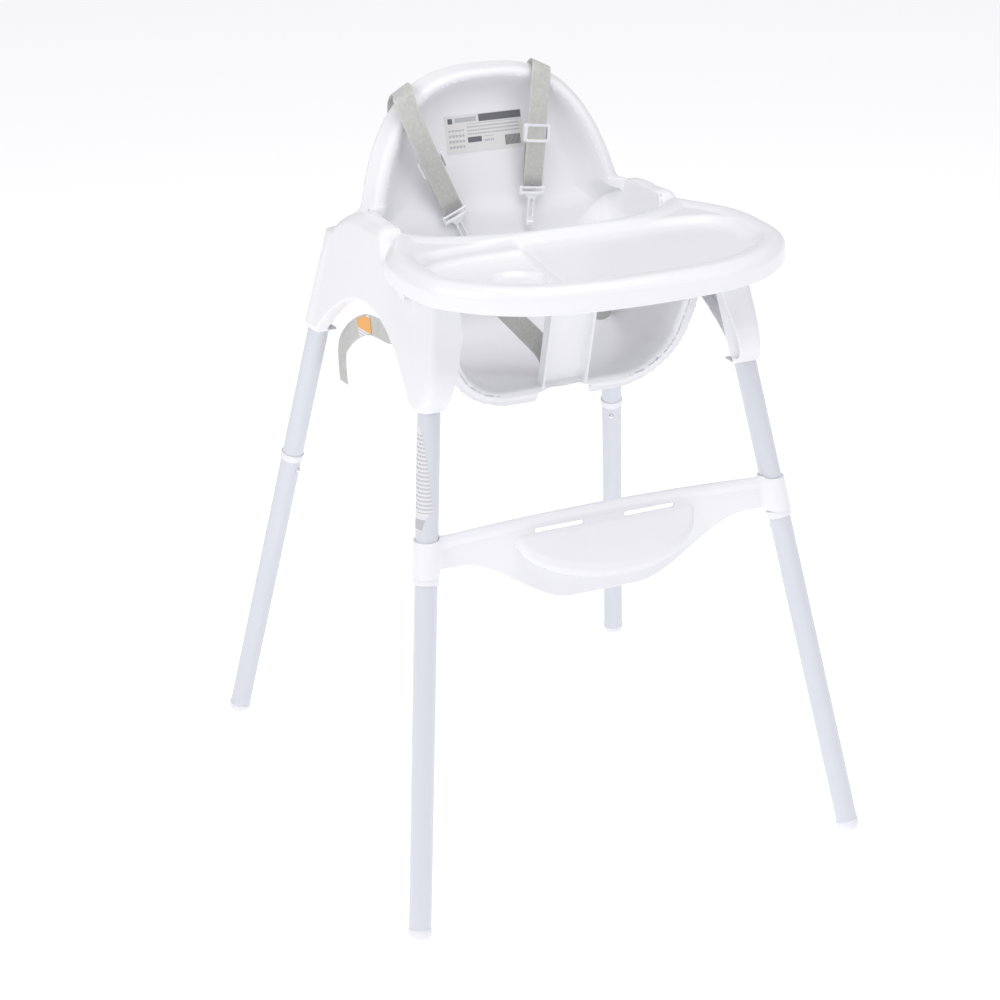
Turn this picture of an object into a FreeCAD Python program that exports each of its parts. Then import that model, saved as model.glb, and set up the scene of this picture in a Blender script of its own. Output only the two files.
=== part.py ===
import FreeCAD, Part
import math
import os

V = FreeCAD.Vector

# ---------------------------------------------------------------- driving sizes (mm)
# +Z up, +X to the right seen from the front, the child faces -Y.
# The origin is on the floor, under the middle of the chair.

# legs
TUBE_R = 12.7                  # outer radius of the steel leg tubes
TUBE_WALL = 1.4
INSERT_R = 11.1                # reduced end of an upper tube, inside the lower tube
MOUTH = (196.0, 166.0, 570.0)  # leg axis where it enters the seat's socket (+X +Y leg)
SPLAY_X = 0.147                # outward lean of a leg per mm of drop
SPLAY_Y = 0.249                # forward or backward lean per mm of drop
LEG_TOP_Z = 684.0
UPPER_END_Z = 389.8            # shoulder of the upper tube on the lower tube's end
INSERT_END_Z = 318.0
RING_Z = (384.5, 393.6)
BUTTON_Z = 373.0
BUTTON_R = 3.2
BUTTON_PROUD = 3.4
FOOT_R = 13.4                  # rounded foot cap
FOOT_FLAT = 1.0                # height cut off the ball, which leaves the flat it stands on
CAP_TOP_Z = 13.0

# footrest
COLLAR_R = 15.4
COLLAR_Z = (393.9, 433.0)
BAR_R = 6.0
BAR_YZ = (-203.0, 431.5)
WEB_THICK = 3.4
STEP_HALF = 111.0              # half width of the half-round step
STEP_REACH = 52.0              # how far the step stands forward of the web
STEP_DROP = 34.0               # fall of the step from the web to its front lip
STEP_BACK = (-204.0, 417.0)

# seat
WALL = 3.0
SIDE_X = 211.5                 # outer face of a side panel at the mouth's height
SIDE_TAPER = 0.147
ARM_TOP = 728.0
ARM_LOW = 703.0                # the arms' height under the tray
ARM_RAMP = (-32.0, -14.0)      # where the arms step up behind the tray
PAN_Z = 548.0                  # top of the seat pan
PAN_HALF = 137.0               # half width between the side walls at z = 610
PAN_CORNER = 50.0
WALL_LEAN = 0.22               # lean of the side walls and of the backrest
BACK_Y = 62.0                  # front face of the backrest at the pan
FRONT_Y = -97.0                # front rim at its lowest point
FRONT_LEAN = 0.256
RIM_WIDTH = 16.0
RIM_LOW_Z = 532.0
POST_HALF = 29.0               # crotch post
WAIST_Z = (680.0, 695.0)       # crossbar in front of the child's waist, under the tray
PANEL_SPLIT_X = 157.3          # the moulding's solids meet at these planes
BACK_SPLIT_Z = 698.0

# backrest outline: |x| = HALF * (1 - ((z - MID) / RISE) ** POWER) ** (1 / POWER)
BACK_EDGE = (182.9, 522.0, 350.0, 2.74)    # rear edge of the rim
BACK_FRONT = (169.0, 517.0, 350.0, 2.8)    # front edge of the rim
BACK_INNER = (160.0, 517.0, 340.0, 2.8)    # where the rim turns in to the recess
BACK_PANEL = (136.0, 517.0, 328.0, 2.8)    # foot of the recess's sloping sides
BACK_FOOT_Z = 706.0
RIM_FRONT, RIM_REAR = -28.0, -4.0          # the rim's edges, measured from the panel's face

# tray
TRAY_BOTTOM = 700.0
TRAY_CREST = 729.0
TRAY_FLOOR = 717.5
SECTION_FLOOR = 709.0          # floor of the deeper section at the left
CUP_AT = (-103.0, -194.0)
CUP_R = 33.0
CUP_FLOOR = 703.4
TRAY_SLIDE = 32.0

# harness
WEBBING = 25.0
WEB_T = 1.5
GAP = 0.35                     # air between parts that move on each other


# ---------------------------------------------------------------- helpers
def box(x0, x1, y0, y1, z0, z1):
    return Part.makeBox(x1 - x0, y1 - y0, z1 - z0, V(x0, y0, z0))


def cylinder(start, end, radius):
    start, end = V(*start), V(*end)
    run = end - start
    return Part.makeCylinder(radius, run.Length, start, run)


def face_of(points):
    points = [V(*p) for p in points]
    return Part.Face(Part.makePolygon(points + [points[0]]))


def prism_x(outline, x0, x1):
    """Extrude an outline of (y, z) points along X."""
    return face_of([(x0, y, z) for y, z in outline]).extrude(V(x1 - x0, 0, 0))


def prism_y(outline, y0, y1):
    """Extrude an outline of (x, z) points along Y."""
    return face_of([(x, y0, z) for x, z in outline]).extrude(V(0, y1 - y0, 0))


def prism_z(outline, z0, z1):
    """Extrude an outline of (x, y) points along Z."""
    return face_of([(x, y, z0) for x, y in outline]).extrude(V(0, 0, z1 - z0))


def mirrored(shape, x=True):
    return shape.mirror(V(0, 0, 0), V(1, 0, 0) if x else V(0, 1, 0))


def fuse(first, *others):
    return first.multiFuse(list(others)).removeSplitter()


def inset(outline, amount):
    """Move every edge of a closed outline inwards; the outline runs anticlockwise."""
    count = len(outline)
    moved = []
    for i in range(count):
        (ax, ay), (bx, by), (cx, cy) = (outline[i - 1], outline[i], outline[(i + 1) % count])
        one = math.atan2(by - ay, bx - ax)
        two = math.atan2(cy - by, cx - bx)
        n1 = (-math.sin(one), math.cos(one))
        n2 = (-math.sin(two), math.cos(two))
        scale = amount / (1 + n1[0] * n2[0] + n1[1] * n2[1])
        moved.append((bx + (n1[0] + n2[0]) * scale, by + (n1[1] + n2[1]) * scale))
    return moved


def arc_points(cx, cy, radius, start, end, count):
    """Points of a round stretch, angles in degrees."""
    angles = [math.radians(start + (end - start) * i / count) for i in range(count + 1)]
    return [(cx + radius * math.cos(a), cy + radius * math.sin(a)) for a in angles]


def strap(route, thick=WEB_T, width=WEBBING):
    """Flat webbing: a list of (middle point, direction across the width)."""
    points = [V(*p) for p, _ in route]
    sides = [V(*a).normalize() for _, a in route]
    wires = []
    for i, (point, side) in enumerate(zip(points, sides)):
        before = points[max(i - 1, 0)]
        after = points[min(i + 1, len(points) - 1)]
        run = (after - before).normalize()
        up = run.cross(side).normalize() * (thick / 2)
        half = side * (width / 2)
        ends = [point - half - up, point + half - up, point + half + up, point - half + up]
        wires.append(Part.makePolygon(ends + [ends[0]]))
    spans = [Part.makeLoft([one, two], True, True) for one, two in zip(wires, wires[1:])]
    return spans[0] if len(spans) == 1 else spans[0].multiFuse(spans[1:])


def export(name, shape):
    os.makedirs("parts", exist_ok=True)
    solids = shape.Solids
    assert solids and shape.isValid(), name
    print(f"{name:26s} solids {len(solids):2d}  volume {shape.Volume / 1000:8.2f} cm3")
    shape.exportStep(f"parts/{name}.step")


# ---------------------------------------------------------------- legs
CORNERS = {"front_left": (-1, -1), "front_right": (1, -1), "rear_left": (-1, 1), "rear_right": (1, 1)}


def leg_point(corner, z):
    sx, sy = corner
    drop = MOUTH[2] - z
    return (sx * (MOUTH[0] + SPLAY_X * drop), sy * (MOUTH[1] + SPLAY_Y * drop), z)


def on_leg(corner, z0, z1, radius):
    return cylinder(leg_point(corner, z0), leg_point(corner, z1), radius)


def button_direction(corner):
    """Square to the leg and level with the chair's middle, pointing out of the tube."""
    sx, sy = corner
    size = math.hypot(SPLAY_X, SPLAY_Y)
    lean = math.atan(size)
    level = V(-sx * SPLAY_X / size, -sy * SPLAY_Y / size, 0)
    return level * math.cos(lean) - V(0, 0, 1) * math.sin(lean)


def leg_hole(corner, radius, z=BUTTON_Z):
    middle = V(*leg_point(corner, z))
    return Part.makeCylinder(radius, 30, middle, button_direction(corner))


def make_upper_leg(corner):
    outside = on_leg(corner, UPPER_END_Z, LEG_TOP_Z, TUBE_R)
    insert = on_leg(corner, INSERT_END_Z, UPPER_END_Z + 8, INSERT_R)
    bore = on_leg(corner, UPPER_END_Z + 6, LEG_TOP_Z + 2, TUBE_R - TUBE_WALL)
    insert_bore = on_leg(corner, INSERT_END_Z - 2, UPPER_END_Z + 8, INSERT_R - TUBE_WALL)
    tube = fuse(outside, insert).cut(bore).cut(insert_bore)
    tube = tube.cut(leg_hole(corner, BUTTON_R + 0.1))
    for screw in screw_axes(corner):
        tube = tube.cut(cylinder(screw[0], screw[1], 1.9))
    return tube


def make_lower_leg(corner):
    tube = on_leg(corner, CAP_TOP_Z, UPPER_END_Z - 0.1, TUBE_R)
    tube = tube.cut(on_leg(corner, CAP_TOP_Z - 2, UPPER_END_Z + 2, TUBE_R - TUBE_WALL))
    return tube.cut(leg_hole(corner, BUTTON_R + 0.1))


def make_leg_ring(corner):
    ring = on_leg(corner, RING_Z[0], RING_Z[1], 14.3)
    return ring.cut(on_leg(corner, RING_Z[0] - 1, RING_Z[1] + 1, TUBE_R + 0.05))


def make_foot_cap(corner):
    centre = V(*leg_point(corner, FOOT_R - FOOT_FLAT))
    ball = Part.makeSphere(FOOT_R, centre)
    ball = ball.cut(box(centre.x - 40, centre.x + 40, centre.y - 40, centre.y + 40, -40, 0))
    top = on_leg(corner, CAP_TOP_Z - 0.1, CAP_TOP_Z + 40, 30)
    plug = on_leg(corner, CAP_TOP_Z - 6, CAP_TOP_Z + 24, TUBE_R - TUBE_WALL - 0.1)
    return fuse(ball.cut(top), plug)


def make_leg_button(corner):
    out = button_direction(corner)
    middle = V(*leg_point(corner, BUTTON_Z))
    axis = V(*leg_point(corner, BUTTON_Z - 30)) - middle
    axis.normalize()
    neck = Part.makeCylinder(BUTTON_R, TUBE_R + 0.6 - 7.6, middle + out * 7.6, out)
    dome = Part.makeSphere(BUTTON_R, middle + out * (TUBE_R + BUTTON_PROUD - BUTTON_R))
    # the leaf that carries the button lies along the tube, and tapers below it
    across = axis.cross(out).normalize()
    start = middle + out * 7.2 - axis * 7
    corners = [start - across * 4, start + across * 4, start + across * 4 + axis * 40, start - across * 4 + axis * 40]
    leaf = Part.Face(Part.makePolygon(corners + [corners[0]])).extrude(out * 0.7)
    return fuse(neck, dome, leaf)


def make_leg_clip(corner):
    """The clip's fixed arm and its bend: it grips the far wall and holds the leaf up."""
    out = button_direction(corner)
    middle = V(*leg_point(corner, BUTTON_Z))
    axis = V(*leg_point(corner, BUTTON_Z - 30)) - middle
    axis.normalize()
    across = axis.cross(out).normalize()
    low = middle + axis * 34
    arm_start = middle - out * 8.9 - axis * 10
    outline = [arm_start - across * 3, arm_start + across * 3,
               arm_start + across * 3 + axis * 46, arm_start - across * 3 + axis * 46]
    arm = Part.Face(Part.makePolygon(outline + [outline[0]])).extrude(out * 0.7)
    base = low - out * 8.9 + axis * 1.2
    corners = [base - across * 3, base + across * 3, base + across * 3 + axis * 0.8, base - across * 3 + axis * 0.8]
    bend = Part.Face(Part.makePolygon(corners + [corners[0]])).extrude(out * 17.6)
    return fuse(arm, bend)


def screw_axes(corner):
    """One screw crosses each socket from the inside, near its top."""
    sx = corner[0]
    x, y, z = leg_point(corner, 650.0)
    return [((x - sx * 19.0, y, z), (x + sx * 14.0, y, z))]


def make_leg_screws():
    screws = []
    for corner in CORNERS.values():
        for start, end in screw_axes(corner):
            sx = corner[0]
            shank_end = (end[0] - sx * 6.0, end[1], end[2])
            head_end = (start[0] + sx * 2.4, start[1], start[2])
            screws.append(fuse(cylinder(start, shank_end, 1.8), cylinder(start, head_end, 4.0)))
    return Part.makeCompound(screws)


# ---------------------------------------------------------------- footrest
def make_footrest():
    left, right = CORNERS["front_left"], CORNERS["front_right"]
    y, z = BAR_YZ
    bar = cylinder((-214, y, z), (214, y, z), BAR_R)
    # the web's lower edge runs level beside the collars and swoops down under the step
    flank = [(-216, 396), (-180, 394), (-155, 389), (-130, 376), (-105, 359), (-80, 344), (-50, 335)]
    outline = flank + [(0, 332)] + [(-x, h) for x, h in reversed(flank)] + [(216, z), (-216, z)]
    web = prism_y(outline, y - 2, y - 2 + WEB_THICK)
    # the step slopes forward from the web, with a half-round front and a turned-down lip
    by, bz = STEP_BACK
    ends = [(by, bz), (by - STEP_REACH, bz - STEP_DROP), (by - STEP_REACH, bz - STEP_DROP - 3.2),
            (by, bz - 3.2)]
    front = Part.Ellipse(V(0, by, 0), STEP_HALF, STEP_REACH).toShape()
    disc = Part.Face(Part.Wire(front))
    disc.translate(V(0, 0, 340))
    column = disc.extrude(V(0, 0, 100)).common(box(-120, 120, by - 60, by, 330, 440))
    step = prism_x(ends, -STEP_HALF, STEP_HALF).common(column)
    lip_slab = prism_x([(a, h - 6) for a, h in ends[:2]] + [(a, h - 3) for a, h in reversed(ends[:2])],
                       -STEP_HALF, STEP_HALF)
    inner = Part.Face(Part.Wire(Part.Ellipse(V(0, by, 0), STEP_HALF - 3, STEP_REACH - 3).toShape()))
    inner.translate(V(0, 0, 340))
    lip = lip_slab.common(column).cut(inner.extrude(V(0, 0, 100)))
    ribs = [prism_x([(by + 1, bz - 3), (by - 38, bz - 3 - 38 * STEP_DROP / STEP_REACH), (by + 1, 345)], x - 1.5, x + 1.5)
            for x in (-60.0, 0.0, 60.0)]
    collars = [on_leg(c, COLLAR_Z[0], COLLAR_Z[1], COLLAR_R) for c in (left, right)]
    body = fuse(bar, web, step, lip, *ribs, *collars)
    for corner in (left, right):
        body = body.cut(on_leg(corner, COLLAR_Z[0] - 5, COLLAR_Z[1] + 8, TUBE_R + 0.15))
    for x0, x1 in ((-88, -26), (26, 88)):
        body = body.cut(box(x0, x1, y - 8, y + 8, bz + 0.4, bz + 6.4))
    return body


# ---------------------------------------------------------------- seat
def side_x(z):
    """Outer face of the right side panel."""
    return SIDE_X - SIDE_TAPER * (z - MOUTH[2])


ARCH = [(-151, 571), (-138, 577), (-129, 583), (-105, 603), (-86, 615), (-61, 628), (-36, 637), (0, 641)]


def side_outline():
    """Side view of a side panel, anticlockwise in (y, z)."""
    arch = ARCH + [(-y, z) for y, z in reversed(ARCH[:-1])]
    rear = [(181, 571), (176, 586), (169, 600), (164, 618), (158, 638), (150, 658), (142, 675),
            (133, 690), (118, 705), (99, 716), (76, 725), (60, 728)]
    arm = [(ARM_RAMP[1], ARM_TOP), (ARM_RAMP[0], ARM_LOW), (-154, ARM_LOW), (-163, ARM_LOW - 8)]
    front = [(-168, 683), (-180, 641), (-190, 600), (-188, 582), (-181, 571)]
    return arch + rear + arm + front


def make_side():
    """Right side panel with its arm, its two leg limbs and the sockets inside them."""
    outline = side_outline()
    low, high = 560.0, 740.0
    slant = prism_y([(100, low), (side_x(low), low), (side_x(high), high), (100, high)], -260, 260)
    hollow_slant = prism_y([(100, low), (side_x(low) - WALL, low), (side_x(high) - WALL, high), (100, high)],
                           -260, 260)
    block = prism_x(outline, 158, 230).common(slant)
    hollow = prism_x(inset(outline, WALL), 150, 230).common(hollow_slant)
    side = block.cut(hollow)
    # the returned edge along the arch is narrow, and the limbs narrow down to the tubes
    arch_cut = prism_y([(150, 560), (side_x(560) - 18, 560), (side_x(690) - 18, 690), (150, 690)], -126, 126)
    side = side.cut(arch_cut.common(box(100, 230, -126, 126, 560, 672)))
    side = side.cut(prism_y([(150, 560), (181, 560), (181, 576), (158, 652), (150, 652)], -200, 200))
    for corner in (CORNERS["front_right"], CORNERS["rear_right"]):
        side = fuse(side, on_leg(corner, 571, 690, TUBE_R + 2.6))
        side = side.cut(on_leg(corner, 560, LEG_TOP_Z + 0.3, TUBE_R + 0.1))
        start, end = screw_axes(corner)[0]
        side = side.cut(cylinder((start[0] - 4, start[1], start[2]), end, 1.9))
        side = side.cut(cylinder((start[0] - 12, start[1], start[2]), (start[0] + 2.5, start[1], start[2]), 4.2))
    return side


def tub_outline(grow, top):
    """Front view of the seat's trough, anticlockwise in (x, z); 'grow' moves it outwards."""
    radius = PAN_CORNER + grow
    lean = math.atan(WALL_LEAN)
    wall_foot = PAN_HALF - WALL_LEAN * (610 - PAN_Z)
    centre_z = PAN_Z + PAN_CORNER
    centre_x = wall_foot + WALL_LEAN * PAN_CORNER - PAN_CORNER / math.cos(lean)
    corner = arc_points(centre_x, centre_z, radius, -90, -math.degrees(lean), 8)
    x_top = corner[-1][0] + WALL_LEAN * (top - corner[-1][1])
    right = corner + [(x_top, top)]
    return [(-x, z) for x, z in reversed(right)] + right


def front_plane(z):
    return FRONT_Y - FRONT_LEAN * (z - RIM_LOW_Z)


def back_plane(z):
    return BACK_Y + WALL_LEAN * (z - PAN_Z)


def between(y_low, y_high, top, shift_low=0.0, shift_high=0.0):
    """The space between the front and back planes, up to 'top'."""
    z0 = 500.0
    return prism_x([(y_low(z0) + shift_low, z0), (y_high(z0) + shift_high, z0),
                    (y_high(top) + shift_high, top), (y_low(top) + shift_low, top)], -240, 240)


def make_tub():
    top = ARM_TOP
    outer = prism_y(tub_outline(WALL, top), -200, 200)
    outer = outer.common(between(front_plane, back_plane, top, 0.0, WALL))
    inner = prism_y(tub_outline(0.0, top + 10), -200, 200)
    tub = outer.cut(inner.common(between(front_plane, back_plane, top + 10, -20.0, 0.0)))
    # the rim stands out round both leg openings and below the pan
    rim = prism_y(tub_outline(RIM_WIDTH, 700.0), -200, 200).cut(inner)
    rim = rim.common(between(front_plane, front_plane, 700.0, 0.0, WALL))
    # crotch post: a channel with its flanges forward, up to the crossbar
    web = box(-POST_HALF, POST_HALF, -200, 200, PAN_Z - 1, WAIST_Z[1])
    web = web.common(between(front_plane, front_plane, WAIST_Z[1], 9.0, 12.0))
    flanges = [box(x, x + WALL, -200, 200, PAN_Z - 14, WAIST_Z[1]) for x in (-POST_HALF, POST_HALF - WALL)]
    flanges = [f.common(between(front_plane, front_plane, WAIST_Z[1], -1.0, 12.0)) for f in flanges]
    notch = prism_y([(-POST_HALF + WALL, 520)] + [(x, PAN_Z - 2 + 8 * (1 - (x / 26.0) ** 2)) for x in range(-26, 27, 13)]
                    + [(POST_HALF - WALL, 520)], -200, -80)
    bar_x = 168.0
    waist = box(-bar_x, bar_x, -170, -110, *WAIST_Z)
    waist = waist.common(between(front_plane, front_plane, WAIST_Z[1], -1.0, 13.0))
    return fuse(tub, rim, waist).cut(notch).multiFuse([web] + flanges)


def lean_back(shape):
    """Put a shape built upright, with the panel's face at y = 0, onto the backrest's slope."""
    angle = math.atan(WALL_LEAN)
    shape.rotate(V(0, 0, PAN_Z), V(1, 0, 0), -math.degrees(angle))
    shape.translate(V(0, BACK_Y, 0))
    return shape


def back_outline(half, mid, rise, power, offset, foot=BACK_FOOT_Z, steps=16):
    """Rounded arch of the backrest, anticlockwise in (x, v), for a plane 'offset' behind the panel's face."""
    angle = math.atan(WALL_LEAN)
    right = []
    for i in range(steps + 1):
        z = foot + (mid + rise - foot) * math.sin(math.pi / 2 * i / steps)
        x = half * max(0.0, 1 - ((z - mid) / rise) ** power) ** (1 / power)
        right.append((x, PAN_Z + (z - PAN_Z + offset * math.sin(angle)) / math.cos(angle)))
    return right + [(-x, v) for x, v in reversed(right[:-1])]


def arch_between(front, rear, y_front, y_rear):
    """Solid between two outlines of the same number of points."""
    wires = []
    for outline, y in ((front, y_front), (rear, y_rear)):
        points = [V(x, y, v) for x, v in outline]
        wires.append(Part.makePolygon(points + [points[0]]))
    return Part.makeLoft(wires, True, True)


def make_backrest():
    """The leaning back: a recessed panel in a deep rim that is hollow behind."""
    front = back_outline(*BACK_FRONT, RIM_FRONT)
    rear = back_outline(*BACK_EDGE, RIM_REAR)
    inner = back_outline(*BACK_INNER, RIM_FRONT)
    panel = back_outline(*BACK_PANEL, 0.0)
    slab = arch_between(front, rear, RIM_FRONT, RIM_REAR)
    core = arch_between(inset(inner, -WALL), inset(panel, -WALL), RIM_FRONT, WALL)
    low = BACK_FOOT_Z - 20
    recess = arch_between(back_outline(*BACK_INNER, RIM_FRONT, low), back_outline(*BACK_PANEL, 0.0, low),
                          RIM_FRONT - 0.01, 0.0)
    channel = arch_between(inset(front, WALL), inset(rear, WALL), RIM_FRONT + WALL, RIM_REAR + 0.01)
    channel = channel.cut(core).common(box(-220, 220, -60, 60, BACK_FOOT_Z + 8, 900))
    return lean_back(fuse(slab, core).cut(recess).cut(channel))


def shoulder_filler():
    """The arms' tops run back into the rim of the backrest."""
    outline = [(60, 727), (76, 724), (99, 715), (118, 704), (126, 695), (122, 694), (97, 711), (60, 721)]
    return prism_x(outline[::-1], PANEL_SPLIT_X, 172)


def both_sides(shape):
    return [shape, mirrored(shape)]


def make_seat_shell():
    ramp = [(-220, ARM_LOW), (ARM_RAMP[0], ARM_LOW), (ARM_RAMP[1], ARM_TOP), (ARM_RAMP[1], 770), (-220, 770)]
    inner_edge = [(-150, ARM_LOW - WALL), (ARM_RAMP[0], ARM_LOW - WALL), (ARM_RAMP[1], ARM_TOP - WALL),
                  (75, ARM_TOP - WALL), (75, ARM_TOP - 7), (ARM_RAMP[1], ARM_TOP - 7),
                  (ARM_RAMP[0], ARM_LOW - 7), (-150, ARM_LOW - 7)]
    inner_edge = prism_x(inner_edge[::-1], 158, 167)
    tub = make_tub().cut(prism_x(ramp, -240, 240))
    shell = fuse(tub, *both_sides(make_side()), make_backrest(), *both_sides(inner_edge),
                 *both_sides(shoulder_filler()))
    # slots for the crotch strap and the two lap straps, and the tray latches' slots
    openings = [box(-15, 15, CROTCH_SLOT_Y - 2.5, CROTCH_SLOT_Y + 2.5, PAN_Z - 20, PAN_Z + 20)]
    openings += both_sides(box(125, 165, LAP_SLOT[0] - 3, LAP_SLOT[0] + 3, LAP_SLOT[1] - 15, LAP_SLOT[1] + 15))
    openings += both_sides(latch_slot())
    openings += [on_leg(corner, MOUTH[2] - 10, LEG_TOP_Z + 0.3, TUBE_R + 0.1) for corner in CORNERS.values()]
    for opening in openings:
        shell = shell.cut(opening)
    return shell


def split_seat(shell):
    """The moulding in four solids that meet face to face: bucket, back and two side panels."""
    far = 400.0
    spaces = {
        "seat_bucket": box(-PANEL_SPLIT_X, PANEL_SPLIT_X, -far, far, 0, BACK_SPLIT_Z),
        "backrest": box(-PANEL_SPLIT_X, PANEL_SPLIT_X, -far, far, BACK_SPLIT_Z, 1000),
        "side_panel_left": box(-far, -PANEL_SPLIT_X, -far, far, 0, 1000),
        "side_panel_right": box(PANEL_SPLIT_X, far, -far, far, 0, 1000),
    }
    return {name: shell.common(space) for name, space in spaces.items()}


# ---------------------------------------------------------------- tray and its latches
LATCH_Y = -118.0               # middle of a latch with the tray home
LATCH_Z = (693.0, 698.0)
NOSE_HALF = 6.0
LATCH_HALF = 14.0              # half length of a latch's plate


def latch_slot():
    return box(180, 196, LATCH_Y - TRAY_SLIDE - NOSE_HALF - 0.6, LATCH_Y + NOSE_HALF + 0.6,
               LATCH_Z[0] - 0.5, LATCH_Z[1] + 0.5)


def tray_front(x):
    t = x / 100.0
    return -309 + 4.71 * t ** 2 + 3.3 * t ** 4


def tray_outline(grow):
    """Plan of the tray, anticlockwise in (x, y): bowed front, round ends, hollowed back."""
    half = 222.0
    front = [(x, tray_front(x)) for x in range(0, 201, 25)]
    end = [(213, -218), (219, -196), (half, -165), (half, -130), (217, -100), (206, -78)]
    wing = [(192, -52), (182, -34), (172, -24), (163, -26)]
    back = [(150, -46), (130, -60), (100, -71), (60, -79), (0, -83)]
    right = front + end + wing + back
    left = [(-x, y) for x, y in reversed(right[1:-1])]
    return inset(right + left, -grow) if grow else right + left


def well_outline():
    front = [(x, tray_front(x) + 40) for x in range(0, 151, 25)]
    right = front + [(172, -222), (186, -196), (190, -165), (186, -134), (172, -116), (140, -108), (0, -104)]
    return right + [(-x, y) for x, y in reversed(right[1:-1])]


def section_outline():
    """The deeper section at the left, bounded at its right by a slanting step."""
    left = [(x, y) for x, y in well_outline() if x < -60]
    return [(-56, -105.5)] + left + [(-71, tray_front(-71) + 40)]


def latch_keeper():
    """Channel under the tray that a latch slides in, with the legs that carry it."""
    y0, y1 = LATCH_Y - LATCH_HALF, LATCH_Y + LATCH_HALF
    low, high = LATCH_Z
    keeper = box(194.2, 214, y0 - 3, y1 + 3, low - 2.6, high + 2.4)
    keeper = keeper.cut(box(190, 230, y0 - GAP, y1 + GAP, low - GAP, high + GAP))
    keeper = keeper.cut(box(190, 230, y0 + 4, y1 - 4, low - 10, low))
    legs = [box(194.2, 214, y, y + 2.4, high + 1, TRAY_CREST - WALL + 1) for y in (y0 - 3, y1 + 0.6)]
    return fuse(keeper, *legs)


def arm_clearance():
    """The right arm's space, with running air round it."""
    air = 1.2
    top = [(-175, 690), (ARM_RAMP[1] + 6, 690), (ARM_RAMP[1] + 6, ARM_TOP + air), (ARM_RAMP[1], ARM_TOP + air),
           (ARM_RAMP[0] - air, ARM_LOW + GAP), (-175, ARM_LOW + GAP)]
    slant = prism_y([(150, 680), (side_x(680) + air, 680), (side_x(740) + air, 740), (150, 740)], -260, 60)
    return prism_x(top, 150, 240).common(slant)


def make_tray():
    body = prism_z(tray_outline(0), TRAY_BOTTOM, TRAY_CREST)
    well = prism_z(well_outline(), TRAY_FLOOR, TRAY_CREST + 10)
    section = prism_z(section_outline(), SECTION_FLOOR, TRAY_CREST)
    cup = cylinder((*CUP_AT, CUP_FLOOR), (*CUP_AT, TRAY_CREST), CUP_R)
    under = prism_z(inset(tray_outline(0), WALL), TRAY_BOTTOM - 10, TRAY_CREST - WALL)
    floors = [prism_z(inset(well_outline(), -WALL), TRAY_FLOOR - WALL, TRAY_CREST),
              prism_z(inset(section_outline(), -WALL), SECTION_FLOOR - WALL, TRAY_CREST - WALL),
              cylinder((*CUP_AT, CUP_FLOOR - WALL), (*CUP_AT, TRAY_FLOOR), CUP_R + WALL)]
    tray = body.cut(under.cut(fuse(*floors)))
    for hollow in (well, section, cup):
        tray = tray.cut(hollow)
    runners = [box(x, x + WALL, -150, -46, ARM_LOW + GAP, TRAY_FLOOR - 1) for x in (164, 182)]
    fittings = [latch_keeper()] + runners
    tray = fuse(tray, *fittings, *[mirrored(f) for f in fittings])
    for space in both_sides(arm_clearance()):
        tray = tray.cut(space)
    return tray


def make_latch():
    """Right tray latch: a sprung slide whose nose runs in the slot of the side panel."""
    y0, y1 = LATCH_Y - LATCH_HALF, LATCH_Y + LATCH_HALF
    plate = box(195.0, 209.0, y0, y1, *LATCH_Z)
    nose = box(186.6, 196.0, LATCH_Y - NOSE_HALF, LATCH_Y + NOSE_HALF, *LATCH_Z)
    tab = box(202.0, 206.0, y0 + 5, y1 - 5, LATCH_Z[0] - 11, LATCH_Z[0] + 1)
    return fuse(plate, nose, tab)


# ---------------------------------------------------------------- harness
CROTCH_SLOT_Y = -62.0
LAP_SLOT = (31.0, 588.0)       # y and z of the slots in the side walls

# routes: (middle of the webbing, direction across it)
SHOULDER_ROUTES = {
    "left": [((-96, 119.0, 705), (1, 0, 0)), ((-97, 125.0, 735), (1, 0, 0)), ((-98, 134.0, 775), (1, 0, .1)),
             ((-99, 142.0, 815), (1, 0, .3)), ((-100, 138.6, 841), (.85, 0, .5)), ((-102, 131.0, 848), (.85, 0, .5)),
             ((-107, 104.0, 851), (.86, 0, .48)), ((-110, 95.4, 847), (.88, 0, .46)),
             ((-108, 91.2, 838), (.92, 0, .4)), ((-53, 87.0, 709), (.92, 0, .4))],
    "right": [((84, 119.0, 705), (1, 0, 0)), ((83, 125.0, 735), (1, 0, 0)), ((82, 134.0, 775), (1, 0, -.05)),
              ((81, 143.5, 820), (1, 0, -.2)), ((80, 142.0, 852), (.88, 0, -.44)), ((78, 134.0, 860), (.88, 0, -.44)),
              ((71, 107.0, 865), (.9, 0, -.4)), ((67, 99.6, 860), (.95, 0, -.3)),
              ((65, 97.2, 850), (.99, 0, -.13)), ((49.5, 88.0, 727), (.99, 0, -.13))],
}
SLIDER_AT = {"left": 0.555, "right": 0.495}    # place along the straight run, from its upper end
LAP_OUTSIDE = [((-145, 31, 588), (0, 0, 1)), ((-158, 33, 589), (0, 0, 1)), ((-166, 48, 592), (0, .15, 1)),
               ((-170, 74, 590), (0, .3, 1)), ((-173, 106, 576), (0, .45, 1)), ((-174, 132, 558), (0, .7, .8)),
               ((-175, 148, 540), (0, 1, .25)), ((-175, 150, 520), (0, 1, 0)), ((-174, 149, 496), (0, 1, 0))]
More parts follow.
